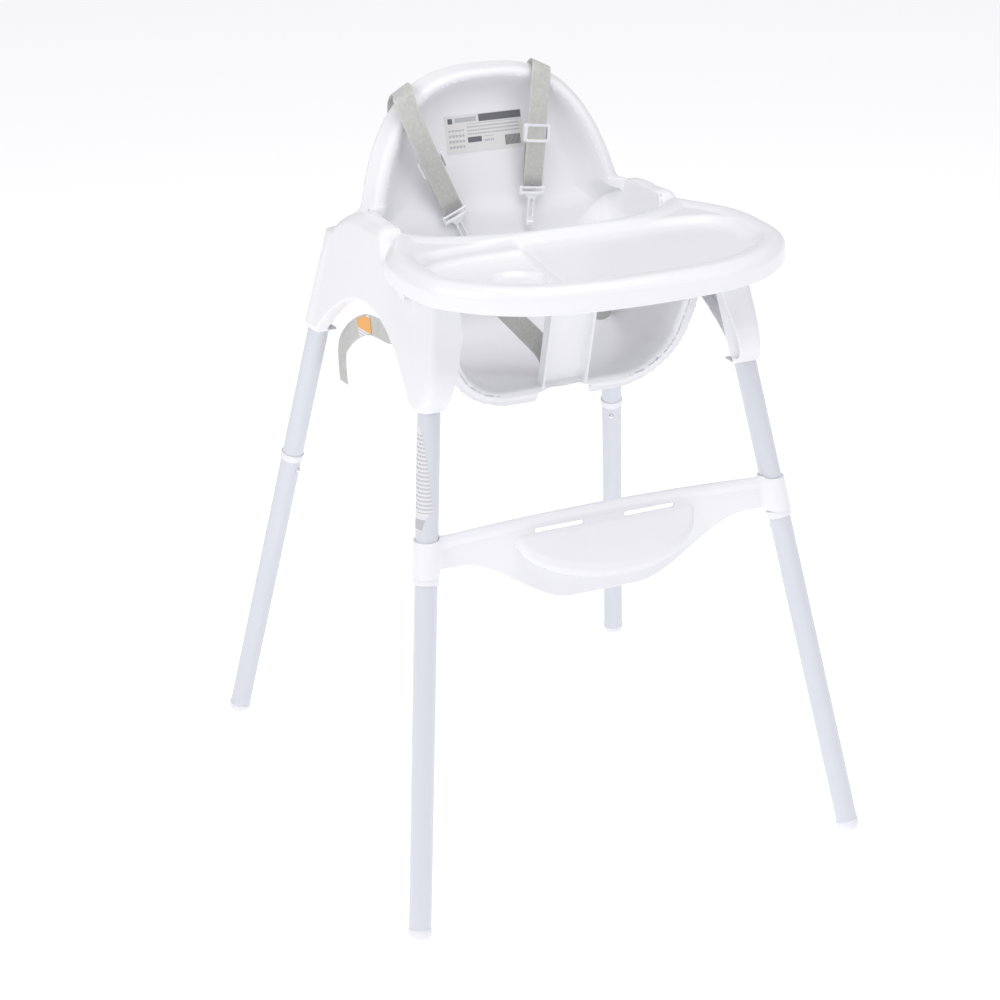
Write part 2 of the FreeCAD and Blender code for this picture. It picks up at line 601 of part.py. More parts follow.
LAP_INSIDE = {
    "left": [((-145, 31, 588), (0, 0, 1)), ((-127, 31, 588), (0, 0, 1)), ((-119, 18, 590), (0, 0, 1)),
             ((-113, -6, 604), (.2, 0, 1)), ((-106, -28, 630), (.4, 0, 1)), ((-94, -39, 656), (0, 0, 1))],
    "right": [((145, 31, 588), (0, 0, 1)), ((127, 31, 588), (0, 0, 1)), ((117, 17, 589), (0, 0, 1)),
              ((88, -14, 598), (.1, 0, 1)), ((36, -34, 632), (.3, 0, 1)), ((-9.5, -39, 656), (0, 0, 1))],
}
CROTCH_ROUTE = [((2, -66, 532), (1, 0, 0)), ((0, -62, 541), (1, 0, 0)), ((0, -62, 556), (1, 0, .1)),
                ((-9, -68, 576), (.9, .1, .42)), ((-24, -60, 596), (.86, .1, .5)), ((-37, -47, 612), (.92, .1, .35)),
                ((-48, -40, 627), (.98, 0, .2)), ((-52, -39, 640), (1, 0, 0))]
HOOK_PIVOT = -2.0              # the hook's upper bar, below the end of the webbing
BUCKLE_AT = (-52.0, -39.0, 655.0)
BUCKLE_BUTTON_R = 9.0
LABEL_SIZE = (99.0, 44.0)
LABEL_Z = 792.0


def make_lap_strap(side):
    outer = LAP_OUTSIDE if side == "left" else [((-x, y, z), (-a, b, c)) for (x, y, z), (a, b, c) in LAP_OUTSIDE]
    return fuse(strap(LAP_INSIDE[side]), strap(outer))


def framed(point, along, across, shape):
    """Place a shape built with its length on Z, its width on X and its face towards -Y."""
    up = V(*along).normalize()
    side = V(*across)
    side = (side - up * side.dot(up)).normalize()
    back = up.cross(side).normalize()
    rows = [(side.x, back.x, up.x, point[0]), (side.y, back.y, up.y, point[1]), (side.z, back.z, up.z, point[2])]
    shape.Placement = FreeCAD.Placement(FreeCAD.Matrix(*rows[0], *rows[1], *rows[2], 0, 0, 0, 1))
    return shape


def front_run(side):
    """The straight run of a shoulder strap that its slider travels on: its two ends, and across."""
    (high, _), (low, across) = SHOULDER_ROUTES[side][-2:]
    return V(*high), V(*low), across


def make_slider(side):
    """Three-bar slider: side rails, two bars before the webbing and one behind it."""
    high, low, across = front_run(side)
    edge = WEBBING / 2
    rails = [box(x, x + 3.2, -3.4, 3.0, -11, 11) for x in (-edge - 4.0, edge + 0.8)]
    bars = [box(-edge - 1, edge + 1, -3.4, -1.3, z, z + 3.4) for z in (-11, 7.6)]
    middle = box(-edge - 1, edge + 1, 1.3, 3.0, -1.8, 1.8)
    return framed(high + (low - high) * SLIDER_AT[side], high - low, across, fuse(*rails, *bars, middle))


def make_hook(side):
    """Strap end fitting: a loop for the webbing, and a flat tongue that hangs below it."""
    high, low, across = front_run(side)
    edge = WEBBING / 2
    bar = cylinder((-edge - 3, 0, HOOK_PIVOT), (edge + 3, 0, HOOK_PIVOT), 1.5)
    loop = [bar, box(-edge - 3, edge + 3, -1.5, 1.5, -9.6, -6.8)]
    loop += [box(x, x + 2.4, -1.5, 1.5, -9.6, HOOK_PIVOT) for x in (-edge - 3, edge + 0.6)]
    tongue = box(-4.2, 4.2, -1.4, 1.4, -47, -8)
    barb = box(-4.2, 4.2, -4.0, 1.4, -47, -42)
    window = box(-1.8, 1.8, -5, 5, -34, -16)
    return framed(low, high - low, across, fuse(*loop, tongue, barb).cut(window))


def make_buckle():
    x, y, z = BUCKLE_AT
    case = box(x - 26, x + 26, y - 8, y + 8, z - 17, z + 19)
    case = case.makeFillet(5, [e for e in case.Edges if abs(e.Length - 16) < 0.1])
    for x0, x1 in ((x - 27, x - 11), (x + 11, x + 27)):
        case = case.cut(box(x0, x1, y - 2.4, y + 2.4, z - 8, z + 10))
    case = case.cut(box(x - 14, x + 14, y - 2, y + 2, z - 18, z - 12))
    return case.cut(Part.makeCylinder(BUCKLE_BUTTON_R + 0.3, 6, V(x, y - 9, z + 1), V(0, 1, 0)))


def make_buckle_button():
    x, y, z = BUCKLE_AT
    return Part.makeCylinder(BUCKLE_BUTTON_R, 3.6, V(x, y - 8.8, z + 1), V(0, 1, 0))


def make_tongue(sx):
    """Flat tongue that plugs into the buckle, with a slot for the lap strap."""
    x, y, z = BUCKLE_AT
    inner, shoulder, outer = (x + sx * d for d in (12, 28, 40))
    blade = box(min(inner, shoulder), max(inner, shoulder), y - 1.8, y + 1.8, z - 7, z + 9)
    plate = box(min(shoulder, outer), max(shoulder, outer), y - 2.4, y + 2.4, z - 16, z + 18)
    slot_mid = x + sx * 34.5
    return fuse(blade, plate).cut(box(slot_mid - 2.2, slot_mid + 2.2, y - 5, y + 5, z - 13.4, z + 15.4))


def make_strap_anchor(side):
    """Plate that clamps a shoulder strap's end to the back of the seat."""
    x = SHOULDER_ROUTES[side][0][0][0]
    top = V(x, back_plane(712) + WALL + 0.1, 712)
    plate = box(x - 22, x + 22, 0.0, 5.6, 0, 15)
    plate = plate.cut(box(x - 13, x + 13, -1, 3.0, -1, 16))
    for dx in (-17.5, 17.5):
        plate = plate.cut(cylinder((x + dx, -1, 7.5), (x + dx, 8, 7.5), 1.9))
    plate.translate(V(0, top.y, top.z - 11))
    plate.rotate(V(x, top.y, top.z - 4), V(1, 0, 0), -math.degrees(math.atan(WALL_LEAN)))
    return plate


def make_back_label():
    """Blank information label on the backrest."""
    stretch = math.sqrt(1 + WALL_LEAN ** 2)
    middle = PAN_Z + (LABEL_Z - PAN_Z) * stretch
    return lean_back(box(-LABEL_SIZE[0] / 2, LABEL_SIZE[0] / 2, -0.3, -0.02,
                         middle - LABEL_SIZE[1] / 2, middle + LABEL_SIZE[1] / 2))


def make_leg_label():
    """Blank strip wrapped on the outer side of the front left tube."""
    corner = CORNERS["front_left"]
    sleeve = on_leg(corner, 442, 552, TUBE_R + 0.25).cut(on_leg(corner, 440, 560, TUBE_R + 0.02))
    x, y, _ = leg_point(corner, 500)
    return sleeve.common(box(x - 40, x - 4, y - 36, y + 36, 430, 570).common(box(x - 40, x, y - 22, y + 40, 430, 570)))


def make_strap_label():
    """Care tag sewn to the left lap strap, outside the seat."""
    route = [((x - 1.1, y, z), across) for (x, y, z), across in LAP_OUTSIDE[3:5]]
    (a, across), (b, _) = route
    mid = [tuple(p + (q - p) * t for p, q in zip(a, b)) for t in (-0.25, 0.75)]
    return strap([(m, across) for m in mid], 0.3, WEBBING - 3)


# ---------------------------------------------------------------- build
def main():
    for name, corner in CORNERS.items():
        export(f"upper_leg_{name}", make_upper_leg(corner))
        export(f"lower_leg_{name}", make_lower_leg(corner))
        export(f"leg_ring_{name}", make_leg_ring(corner))
        export(f"foot_cap_{name}", make_foot_cap(corner))
        export(f"leg_button_{name}", make_leg_button(corner))
        export(f"leg_clip_{name}", make_leg_clip(corner))
    export("leg_screws", make_leg_screws())
    export("footrest", make_footrest())
    for name, piece in split_seat(make_seat_shell()).items():
        export(name, piece)
    export("tray", make_tray())
    export("tray_latch_right", make_latch())
    export("tray_latch_left", mirrored(make_latch()))
    for side in ("left", "right"):
        export(f"shoulder_strap_{side}", strap(SHOULDER_ROUTES[side]))
        export(f"strap_slider_{side}", make_slider(side))
        export(f"strap_hook_{side}", make_hook(side))
        export(f"strap_anchor_{side}", make_strap_anchor(side))
        export(f"lap_strap_{side}", make_lap_strap(side))
    export("buckle_tongue_left", make_tongue(-1))
    export("buckle_tongue_right", make_tongue(1))
    export("crotch_strap", strap(CROTCH_ROUTE))
    export("buckle", make_buckle())
    export("buckle_button", make_buckle_button())
    export("back_label", make_back_label())
    export("strap_label", make_strap_label())
    export("leg_label", make_leg_label())


main()
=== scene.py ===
import math
import bpy
import numpy as np
from mathutils import Matrix, Vector


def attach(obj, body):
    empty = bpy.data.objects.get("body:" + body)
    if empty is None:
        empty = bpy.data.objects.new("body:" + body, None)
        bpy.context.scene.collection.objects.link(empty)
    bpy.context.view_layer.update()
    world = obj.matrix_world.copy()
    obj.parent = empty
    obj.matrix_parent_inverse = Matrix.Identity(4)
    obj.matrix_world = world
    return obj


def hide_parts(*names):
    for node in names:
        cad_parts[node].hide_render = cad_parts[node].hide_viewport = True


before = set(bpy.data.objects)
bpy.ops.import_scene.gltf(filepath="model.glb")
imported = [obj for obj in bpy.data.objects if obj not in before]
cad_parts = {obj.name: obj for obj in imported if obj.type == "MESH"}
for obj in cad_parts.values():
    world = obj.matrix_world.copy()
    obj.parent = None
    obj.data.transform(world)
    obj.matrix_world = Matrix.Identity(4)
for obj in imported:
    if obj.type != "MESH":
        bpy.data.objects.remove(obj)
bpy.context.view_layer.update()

# Baby high chair. Shapes are worked out in millimetres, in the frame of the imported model,
# and turned into metres when a mesh is made.
MM = 0.001

# ---------------------------------------------------------------- driving sizes (mm)
TUBE_R = 12.7                       # leg tubes
MOUTH = (196.0, 166.0, 570.0)       # leg axis at the mouth of its socket
SPLAY = (0.147, 0.249)              # outward and forward lean of a leg per mm of drop
FOOT_R = 13.4
CAP_TOP_Z = 13.0
RING_Z = (384.5, 393.6)

# Walls of the mouldings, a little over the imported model's 3.0 and 2.8, to keep the meshes' two faces apart
WALL, FLANK_WALL, TRAY_WALL = 3.6, 4.4, 3.3
PAN_Z, PAN_HALF, PAN_HALF_Z = 548.0, 137.0, 610.0
LEAN = 0.22                         # lean of the seat's walls and of the backrest
BACK_Y = 62.0
FRONT_Y, FRONT_LEAN, RIM_LOW_Z = -97.0, 0.256, 532.0
SIDE_X, SIDE_TAPER = 211.5, 0.147
ARM_TOP, ARM_LOW = 728.0, 703.0
ARM_RAMP = (-32.0, -14.0)
ARCH_TOP, ARCH_BEND = 641.0, 0.0035
POST_HALF = 29.0
LATCH_Y, LATCH_Z = -118.0, (693.0, 698.0)

TRAY_BOTTOM, TRAY_CREST = 700.0, 729.0
TRAY_FLOOR, SECTION_FLOOR, CUP_FLOOR = 717.5, 709.0, 703.4
CUP_AT, CUP_R = (-103.0, -194.0), 33.0

BAR_YZ = (-203.0, 431.5)            # footrest
STEP_HALF, STEP_REACH, STEP_DROP, STEP_BACK = 111.0, 52.0, 34.0, (-204.0, 417.0)

WEBBING, WEB_T = 25.0, 1.3
BUCKLE_AT = (-52.0, -39.0, 655.0)
LABEL_SIZE, LABEL_Z = (99.0, 44.0), 792.0

FOLD, KEEP_OWN = 0.2, 0.3           # how far a mesh face may lean from the field's slope
EVEN_ROUNDS, REACH = 3, 0.5         # rounds of evening out a mesh; longest move, in grid steps

CORNERS = {"front_left": (-1, -1), "front_right": (1, -1), "rear_left": (-1, 1), "rear_right": (1, 1)}


# ---------------------------------------------------------------- distance fields
# A field is negative inside the plastic. Two fields meet in an edge or a fillet of a stated radius.
def rmax(a, b, r):
    """Keep what both fields hold; their outer edge gets radius r."""
    return np.minimum(-r, np.maximum(a, b)) + np.hypot(np.maximum(a + r, 0), np.maximum(b + r, 0))


def rmin(a, b, r):
    """Join two fields with a fillet of radius r."""
    return -rmax(-a, -b, r)


def span(v, low, high):
    return np.abs(v - (low + high) / 2) - (high - low) / 2


def block(x, y, z, xs, ys, zs, r=0.6):
    return rmax(rmax(span(x, *xs), span(y, *ys), r), span(z, *zs), r)


def smooth_curve(points, steps=6, closed=False):
    """Points of a smooth curve through the given ones."""
    pts = [np.array(p, float) for p in points]
    count = len(pts)
    out = []
    for i in range(count if closed else count - 1):
        p1, p2 = pts[i], pts[(i + 1) % count]
        p0 = pts[i - 1] if (i or closed) else 2 * p1 - p2
        p3 = pts[(i + 2) % count] if (i + 2 < count or closed) else 2 * p2 - p1
        d0, d1, d2 = (max(np.linalg.norm(b - a), 1e-6) for a, b in ((p0, p1), (p1, p2), (p2, p3)))
        m1 = ((p1 - p0) / d0 * d1 + (p2 - p1) / d1 * d0) / (d0 + d1) * d1
        m2 = ((p2 - p1) / d1 * d2 + (p3 - p2) / d2 * d1) / (d1 + d2) * d1
        for k in range(steps):
            t = k / steps
            out.append((2 * t ** 3 - 3 * t ** 2 + 1) * p1 + (t ** 3 - 2 * t ** 2 + t) * m1
                       + (3 * t ** 2 - 2 * t ** 3) * p2 + (t ** 3 - t ** 2) * m2)
    if not closed:
        out.append(pts[-1])
    return out


def outline_field(points, smooth=4):
    """Signed distance to a closed outline of two coordinates, negative inside."""
    pts = np.array(smooth_curve(points, smooth, closed=True) if smooth else points, float)

    def field(u, v):
        best = np.inf
        inside = np.zeros(np.broadcast(u, v).shape, bool)
        for (ax, ay), (bx, by) in zip(pts, np.roll(pts, -1, axis=0)):
            ex, ey = bx - ax, by - ay
            along = np.clip(((u - ax) * ex + (v - ay) * ey) / (ex * ex + ey * ey), 0, 1)
            best = np.minimum(best, (u - ax - along * ex) ** 2 + (v - ay - along * ey) ** 2)
            if ay != by:
                inside ^= ((ay > v) != (by > v)) & (u < ex * (v - ay) / ey + ax)
        return np.sqrt(best) * np.where(inside, -1, 1)
    return field


def surface_nets(values, origin, step):
    """Quads of the zero surface of a grid of field values, one corner in each crossed cell."""
    inside = values < 0
    size = values.shape
    offsets = [(i, j, k) for i in (0, 1) for j in (0, 1) for k in (0, 1)]
    cells = [inside[i:size[0] - 1 + i, j:size[1] - 1 + j, k:size[2] - 1 + k] for i, j, k in offsets]
    active = np.logical_or.reduce(cells) & ~np.logical_and.reduce(cells)
    index = np.argwhere(active)
    number = np.full(active.shape, -1)
    number[active] = np.arange(len(index))
    total, count = np.zeros((len(index), 3)), np.zeros(len(index))
    for a in offsets:
        for axis in range(3):
            if a[axis]:
                continue
            b = list(a)
            b[axis] = 1
            va, vb = values[tuple((index + a).T)], values[tuple((index + b).T)]
            cross = (va < 0) != (vb < 0)
            place = (index + a).astype(float)
            place[:, axis] += np.where(cross, va / np.where(cross, va - vb, 1), 0)
            total[cross] += place[cross]
            count[cross] += 1
    points = np.array(origin) + step * total / count[:, None]
    quads = []
    for axis in range(3):
        u, v = ((1, 2), (2, 0), (0, 1))[axis]
        low, high = [slice(None)] * 3, [slice(None)] * 3
        low[axis], high[axis] = slice(0, -1), slice(1, None)
        edges = np.argwhere(inside[tuple(low)] != inside[tuple(high)])
        inner = (edges[:, u] > 0) & (edges[:, v] > 0)
        edges = edges[inner & (edges[:, u] < size[u] - 1) & (edges[:, v] < size[v] - 1)]
        keep = inside[tuple(edges.T)]
        around = []
        for du, dv in ((1, 1), (0, 1), (0, 0), (1, 0)):
            cell = edges.copy()
            cell[:, u] -= du
            cell[:, v] -= dv
            around.append(number[tuple(cell.T)])
        quad = np.stack(around, 1)
        quad[~keep] = quad[~keep][:, ::-1]
        quads.append(quad)
    return points, np.concatenate(quads)


def settle(field, points, step, nudge=0.2):
    """Move mesh corners towards the exact surface, where that lies within reach."""
    start = points.astype(np.float32)
    value = field(*start.T)
    steps = np.float32(np.eye(3) * nudge)
    slope = np.stack([field(*(start + one).T) - value for one in steps], 1) / nudge
    shift = -value[:, None] * slope / np.maximum((slope ** 2).sum(1), 0.5)[:, None]
    far = np.linalg.norm(shift, axis=1, keepdims=True)
    return (start + shift * np.minimum(1, REACH * step / np.maximum(far, 1e-9))).astype(float)


class Corners:
    """Which mesh corners are joined by an edge, to find the middle of each one's neighbours."""

    def __init__(self, quads, count):
        ends = [np.stack([quads[:, i], quads[:, (i + k) % 4]], 1) for i in range(4) for k in (1, 3)]
        ends = np.concatenate(ends)
        keys = np.unique(ends[:, 0].astype(np.int64) * count + ends[:, 1])
        self.count, self.here, self.there = count, keys // count, keys % count
        self.links = np.maximum(np.bincount(self.here, minlength=count), 1)[:, None]

    def middles(self, points):
        sums = [np.bincount(self.here, points[self.there, k], self.count) for k in range(3)]
        return np.stack(sums, 1) / self.links


def slope_of(field, points, nudge=0.25):
    """Unit normals of a field at some points."""
    points = points.astype(np.float32)
    steps = np.float32(np.eye(3) * nudge)
    slope = np.stack([field(*(points + one).T) - field(*(points - one).T) for one in steps], 1)
    return slope / np.maximum(np.linalg.norm(slope, axis=1, keepdims=True), 1e-9)


def ease_folds(points, quads, normals, corners, rounds=8):
    """Move the corners of faces that fold or bend inward to the middle of their neighbours."""
    slopes = normals[quads].mean(1)
    for _ in range(rounds):
        least = np.ones(len(quads))
        for i in range(4):
            before, at, after = (points[quads[:, (i + k) % 4]] for k in (3, 0, 1))
            turn = np.cross(at - before, after - at)
            turn /= np.maximum(np.linalg.norm(turn, axis=1, keepdims=True), 1e-9)
            least = np.minimum(least, (turn * slopes).sum(1))
        folded = np.unique(quads[least < FOLD])
        points[folded] = corners.middles(points)[folded]
    return points


def moulded(name, field, low, high, step, even=False, place=None):
    """Mesh object of a field inside a box. 'even' builds one half and mirrors it across x = 0."""
    low, high = np.array(low, float), np.array(high, float)
    if even:
        low[0] = 0.0
    axes = [np.arange(l, h + step, step) for l, h in zip(low, high)]
    grid = [a.reshape([-1 if i == k else 1 for i in range(3)]).astype(np.float32) for k, a in enumerate(axes)]
    values = np.array(np.broadcast_to(field(*grid), [len(a) for a in axes]))
    if even:
        values = np.concatenate([values[:0:-1], values])
        low[0] = -axes[0][-1]
    points, quads = surface_nets(values, low, step)
    corners = Corners(quads, len(points))
    for _ in range(EVEN_ROUNDS):
        points = settle(field, (points + corners.middles(points)) / 2, step)
    points = ease_folds(points, quads, slope_of(field, points), corners)
    normals = slope_of(field, points)
    if place is not None:
        turn = np.array(place.to_3x3())
        points, normals = points @ turn.T + np.array(place.translation), normals @ turn.T
    piece = mesh_object(name, points * MM, quads)
    own = np.empty(len(points) * 3)
    piece.data.vertex_normals.foreach_get("vector", own)
    own = own.reshape(-1, 3)
    normals = np.where((normals * own).sum(1, keepdims=True) < KEEP_OWN, own, normals)
    held = piece.data.attributes.new("custom_normal", "FLOAT_VECTOR", "POINT")
    held.data.foreach_set("vector", normals.ravel())
    return piece


def mesh_object(name, points, faces, smooth=True):
    mesh = bpy.data.meshes.new(name)
    if isinstance(faces, np.ndarray):
        faces = faces.tolist()
    mesh.from_pydata(np.asarray(points).tolist(), [], faces)
    mesh.polygons.foreach_set("use_smooth", [smooth] * len(mesh.polygons))
    mesh.update()
    piece = bpy.data.objects.new(name, mesh)
    bpy.context.scene.collection.objects.link(piece)
    return piece


# ---------------------------------------------------------------- seat shell
def front_plane(z):
    return FRONT_Y - FRONT_LEAN * (z - RIM_LOW_Z)


def arm_height(y):
    t = np.clip((y - ARM_RAMP[0]) / (ARM_RAMP[1] - ARM_RAMP[0]), 0, 1)
    return ARM_LOW + (ARM_TOP - ARM_LOW) * t * t * (3 - 2 * t)


def superellipse(x, z, half, mid, rise, power):
    """Distance from the backrest's arch |x / half| ** power + |(z - mid) / rise| ** power = 1."""
    u, v = x / half, np.maximum(z - mid, 0) / rise
    q = (u ** power + v ** power) ** (1 / power) + 1e-6
    return (q - 1) / np.hypot((u / q) ** (power - 1) / half, (v / q) ** (power - 1) / rise)


def leg_distance(x, y, z):
    """Distance from the leg axes, for x >= 0."""
    p = (x - MOUTH[0], np.abs(y) - MOUTH[1], z - MOUTH[2])
    d = (-SPLAY[0], -SPLAY[1], 1.0)
    size = math.sqrt(1 + SPLAY[0] ** 2 + SPLAY[1] ** 2)
    along = (p[0] * d[0] + p[1] * d[1] + p[2]) / size ** 2
    return np.sqrt(sum((a - along * b) ** 2 for a, b in zip(p, d)))


SIDE_REAR = [(181, 571), (176, 586), (169, 602), (164, 618), (158, 638), (150, 658), (142, 675), (133, 690),
             (118, 705), (99, 716), (76, 725), (60, 728), (20, 728), (-14, 728)]
SIDE_FRONT = [(-32, 703), (-60, 703), (-110, 703), (-152, 703), (-162, 697), (-169, 681), (-180, 641),
              (-189, 602), (-187, 583), (-181, 571)]
side_profile = outline_field(SIDE_REAR + SIDE_FRONT + [(-100, 570), (0, 570), (100, 570)])


def shell_field(x, y, z):
    x = np.abs(x)
    lean = 1 / math.hypot(1, LEAN)
    wall = (x - PAN_HALF - LEAN * (z - PAN_HALF_Z)) * lean
    back = (y - BACK_Y - LEAN * (z - PAN_Z)) * lean
    ahead = (front_plane(z) - y) / math.hypot(1, FRONT_LEAN)
    depth = -ahead
    # the child's space is the seat and the backrest's recess; its front edge flares round into the rim
    roll = 6.0 * (1 - np.sqrt(1 - np.clip(1 - depth / 7.0, 0, 1) ** 2))
    plan = rmax(wall, PAN_Z - z, 50.0) - roll
    corner = 46.0 - 8.0 * np.clip((z - 660.0) / 50.0, 0, 1)
    # the backrest's rim lies between a front and a rear arch
    y_front, y_rear = 66.75 + LEAN * (z - 700), 91.0 + 0.24 * (z - 700)
    rim_face = (y_front - y) * lean
    rim_back = (y - y_rear) * 0.972
    t = np.clip((y - y_front) / (y_rear - y_front), -0.2, 1.2)
    outer = superellipse(x, z, 168.0 + 14.9 * t, 517.0 + 5.0 * t, 350.0, 2.8 - 0.06 * t)
    inner = superellipse(x, z, 158.5, 517.0, 341.0, 2.8)
    recess = rmax(inner, 684.0 - z, 16.0)
    space = rmax(rmin(rmax(plan, np.minimum(z - 716.0, -rim_face), 5.0), recess, 14.0), back, corner)
    # outer solids: the back's slab, and side panels with their arms and limbs
    slab = rmax(rmax(rmax(outer, rim_face, 9.5), rim_back, 2.0), 698.0 - z, 3.0)
    plane = (x - SIDE_X + SIDE_TAPER * (z - MOUTH[2])) * 0.989
    profile = side_profile(y, z)
    arch = (z - ARCH_TOP + ARCH_BEND * y * y) / np.hypot(1, 2 * ARCH_BEND * y)
    limit = 158.0 + 23.0 * np.clip((652.0 - z) / 76.0, 0, 1)
    side = rmax(rmax(rmax(profile, plane, 11.0), limit - x, 2.5), -arch, 2.2)
    solid = rmax(rmin(slab, side, 12.0), -space, 6.0)
    # what is hollow: the rim from behind, the side panels from inside and below
    channel = np.maximum(rmax(rmax(outer + FLANK_WALL, rim_face + WALL, 6.5), WALL - space, 2.6), 706.0 - z)
    hollow = rmax(rmax(profile + WALL, plane + WALL, 8.0), WALL - space, 2.6)
    hollow = np.maximum(hollow, np.minimum(WALL - arch, plane + 18.0))
    solid = np.maximum(solid, -np.minimum(channel, hollow))
    axis = leg_distance(x, y, z)
    sleeve = rmax(axis - TUBE_R - 2.7, np.maximum(MOUTH[2] + 0.8 - z, z - 691.0), 1.2)
    solid = rmin(solid, sleeve, 7.0)
    # the bucket's skin, with a rim round the leg openings that is split below the crotch post
    seat = rmax(rmin(plan, recess, 14.0), back, corner)
    band = rmax(rmax(seat - 15.0, span(depth, 0.0, WALL), 1.2), z - 700.0, 1.0)
    notch = rmax(x - POST_HALF + 0.5, z - 546.0, 7.0)
    band = rmax(band, -notch, 8.0)
    skin = rmax(seat - WALL, np.maximum(ahead, z - arm_height(y)), 1.2)
    behind = rmax(rmin(rmax(plan, z - 716.0, 5.0), recess, 14.0), back, corner)
    bucket = np.minimum(rmin(skin, band, 4.0), np.maximum(behind - WALL, rim_face))
    bucket = np.maximum(bucket, -space)
    # crotch post: a channel with its flanges forward; waist bar above it
    web = rmax(span(depth, 8.6, 11.8), x - POST_HALF, 1.0)
    flange = rmax(span(x, POST_HALF - WALL, POST_HALF), span(depth, -0.6, 11.8), 1.2)
    post = rmax(rmin(web, flange, 4.0), np.maximum(542.0 + 5.0 * (1 - (x / 27.0) ** 2) - z, z - 694.0), 1.2)
    waist = block(x, depth, z, (-168, 168), (-0.8, 12.6), (680, 695), 4.0)
    waist = np.maximum(waist, -block(x, depth, z, (-150, 150), (2.0, 30.0), (683, 692), 2.0))
    shell = np.minimum(rmin(bucket, post, 2.5), np.minimum(solid, waist))
    cuts = (block(x, y, z, (-15, 15), (-65, -59), (520, 570), 2.4),
            block(x, y, z, (125, 165), (27.8, 34.2), (572.5, 603.5), 2.4),
            block(x, y, z, (180, 196), (LATCH_Y - 38.6, LATCH_Y + 6.6),
                  (LATCH_Z[0] - .5, LATCH_Z[1] + .5), 0.4),
            np.maximum(axis - TUBE_R - 0.1, z - 684.3))
    for cut in cuts:
        shell = rmax(shell, -cut, 0.6)
    return shell


SEAT_NODES = ("seat_bucket", "backrest", "side_panel_left", "side_panel_right")


def make_seat_shell():
    step = 1.8
    piece = moulded("seat_moulding", shell_field, (0, -206, 522), (226, 196, 884), step, even=True)
    finish_piece(piece, "chair", SEAT_NODES, shell_plastic)


# ---------------------------------------------------------------- tray
def tray_front(x):
    t = x / 100.0
    return -309 + 4.71 * t ** 2 + 3.3 * t ** 4


def both_ways(right):
    return right + [(-x, y) for x, y in reversed(right[1:-1])]


TRAY_RIGHT = ([(x, tray_front(x)) for x in range(0, 201, 25)]
              + [(213, -218), (219, -196), (222, -165), (222, -130), (217, -100), (206, -76), (192, -52),
                 (181, -34), (170, -26), (160, -32), (148, -46), (130, -59), (100, -71), (60, -79), (0, -83)])
WELL_RIGHT = ([(x, tray_front(x) + 40) for x in range(0, 151, 25)]
              + [(172, -222), (186, -196), (190, -165), (186, -134), (172, -117), (140, -109),
                 (70, -105), (0, -104)])
tray_plan = outline_field(both_ways(TRAY_RIGHT))
well_plan = outline_field(both_ways(WELL_RIGHT))


def tray_field(x, y, z):
    plan, well = tray_plan(x, y), well_plan(x, y)
    step_line = (x + 56.0 - 0.13 * (y + 105.0)) * 0.991
    section = rmax(well, step_line, 14.0)
    cup = np.hypot(x - CUP_AT[0], y - CUP_AT[1]) - CUP_R
    crest = TRAY_CREST - 0.012 * np.clip(plan + 15.0, -16.0, 15.0) ** 2
    hollows = rmin(rmin(rmax(well, TRAY_FLOOR - z, 9.0), rmax(section, SECTION_FLOOR - z, 7.0), 3.0),
                   rmax(cup, CUP_FLOOR - z, 9.0), 2.5)
    top = rmax(rmax(plan, z - crest, 12.0), -hollows, 9.0)
    under = rmax(rmax(plan + TRAY_WALL, z - crest + TRAY_WALL, 9.2), TRAY_WALL - hollows, 6.2)
    tray = rmax(np.maximum(top, -under), TRAY_BOTTOM - z, 1.0)
    ax = np.abs(x)
    side_edge = SIDE_X - SIDE_TAPER * (z - MOUTH[2])
    arm = np.maximum(np.maximum(150.0 - ax, ax - side_edge - 1.2),
                     np.maximum(z - arm_height(y) - 0.5, -178.0 - y))
    return rmax(tray, -arm, 0.5)


def make_tray():
    step = 1.6
    piece = moulded("tray_moulding", tray_field, (-227, -313, 697), (227, -20, 732), step)
    finish_piece(piece, "tray", ["tray"], tray_plastic)


# ---------------------------------------------------------------- footrest
def footrest_field(x, y, z):
    signed, x = x, np.abs(x)
    by, bz = STEP_BACK
    crown = BAR_YZ[1] + 2.5 - 6.0 * (x / 200.0) ** 2
    bar = rmax(np.hypot(y - BAR_YZ[0], z - crown) - 6.0, x - 206.0, 2.0)
    swoop = np.clip((x - 40.0) / 140.0, 0, 1)
    lower = 332.0 + 63.0 * swoop ** 2 * (3 - 2 * swoop)
    web = rmax(rmax(span(y, BAR_YZ[0] - 2.0, BAR_YZ[0] + 1.4), (lower - z) * 0.85, 1.2), z - crown, 1.2)
    web = np.maximum(web, x - 212.0)
    slope = STEP_DROP / STEP_REACH
    top = (z - bz - slope * (y - by)) / math.hypot(1, slope)
    plan_q = np.hypot(x / STEP_HALF, np.minimum(y - by, 0) / STEP_REACH) + 1e-6
    plan = (plan_q - 1) / np.hypot(x / STEP_HALF ** 2 / plan_q, (y - by) / STEP_REACH ** 2 / plan_q + 1e-9)
    plan = np.maximum(plan, y - by - 1.0)
    step = rmax(rmax(plan, top, 5.0), -top - 10.0, 1.2)
    step = np.maximum(step, -rmax(plan + WALL, top + WALL, 3.0))
    body = rmin(rmin(bar, web, 4.0), step, 3.0)
    leg = leg_distance(x, -np.abs(y), z)
    collar = rmax(leg - 15.4, span(z, 393.9, 433.0), 1.2)
    body = rmin(body, collar, 5.0)
    body = rmax(body, -np.maximum(leg - TUBE_R - 0.15, 385.0 - z), 0.5)
    for x0, x1 in ((-88, -28), (24, 87)):
        body = rmax(body, -block(signed, y, z, (x0, x1), (-215, -196), (bz + 0.6, bz + 6.0), 2.0), 0.6)
    return body


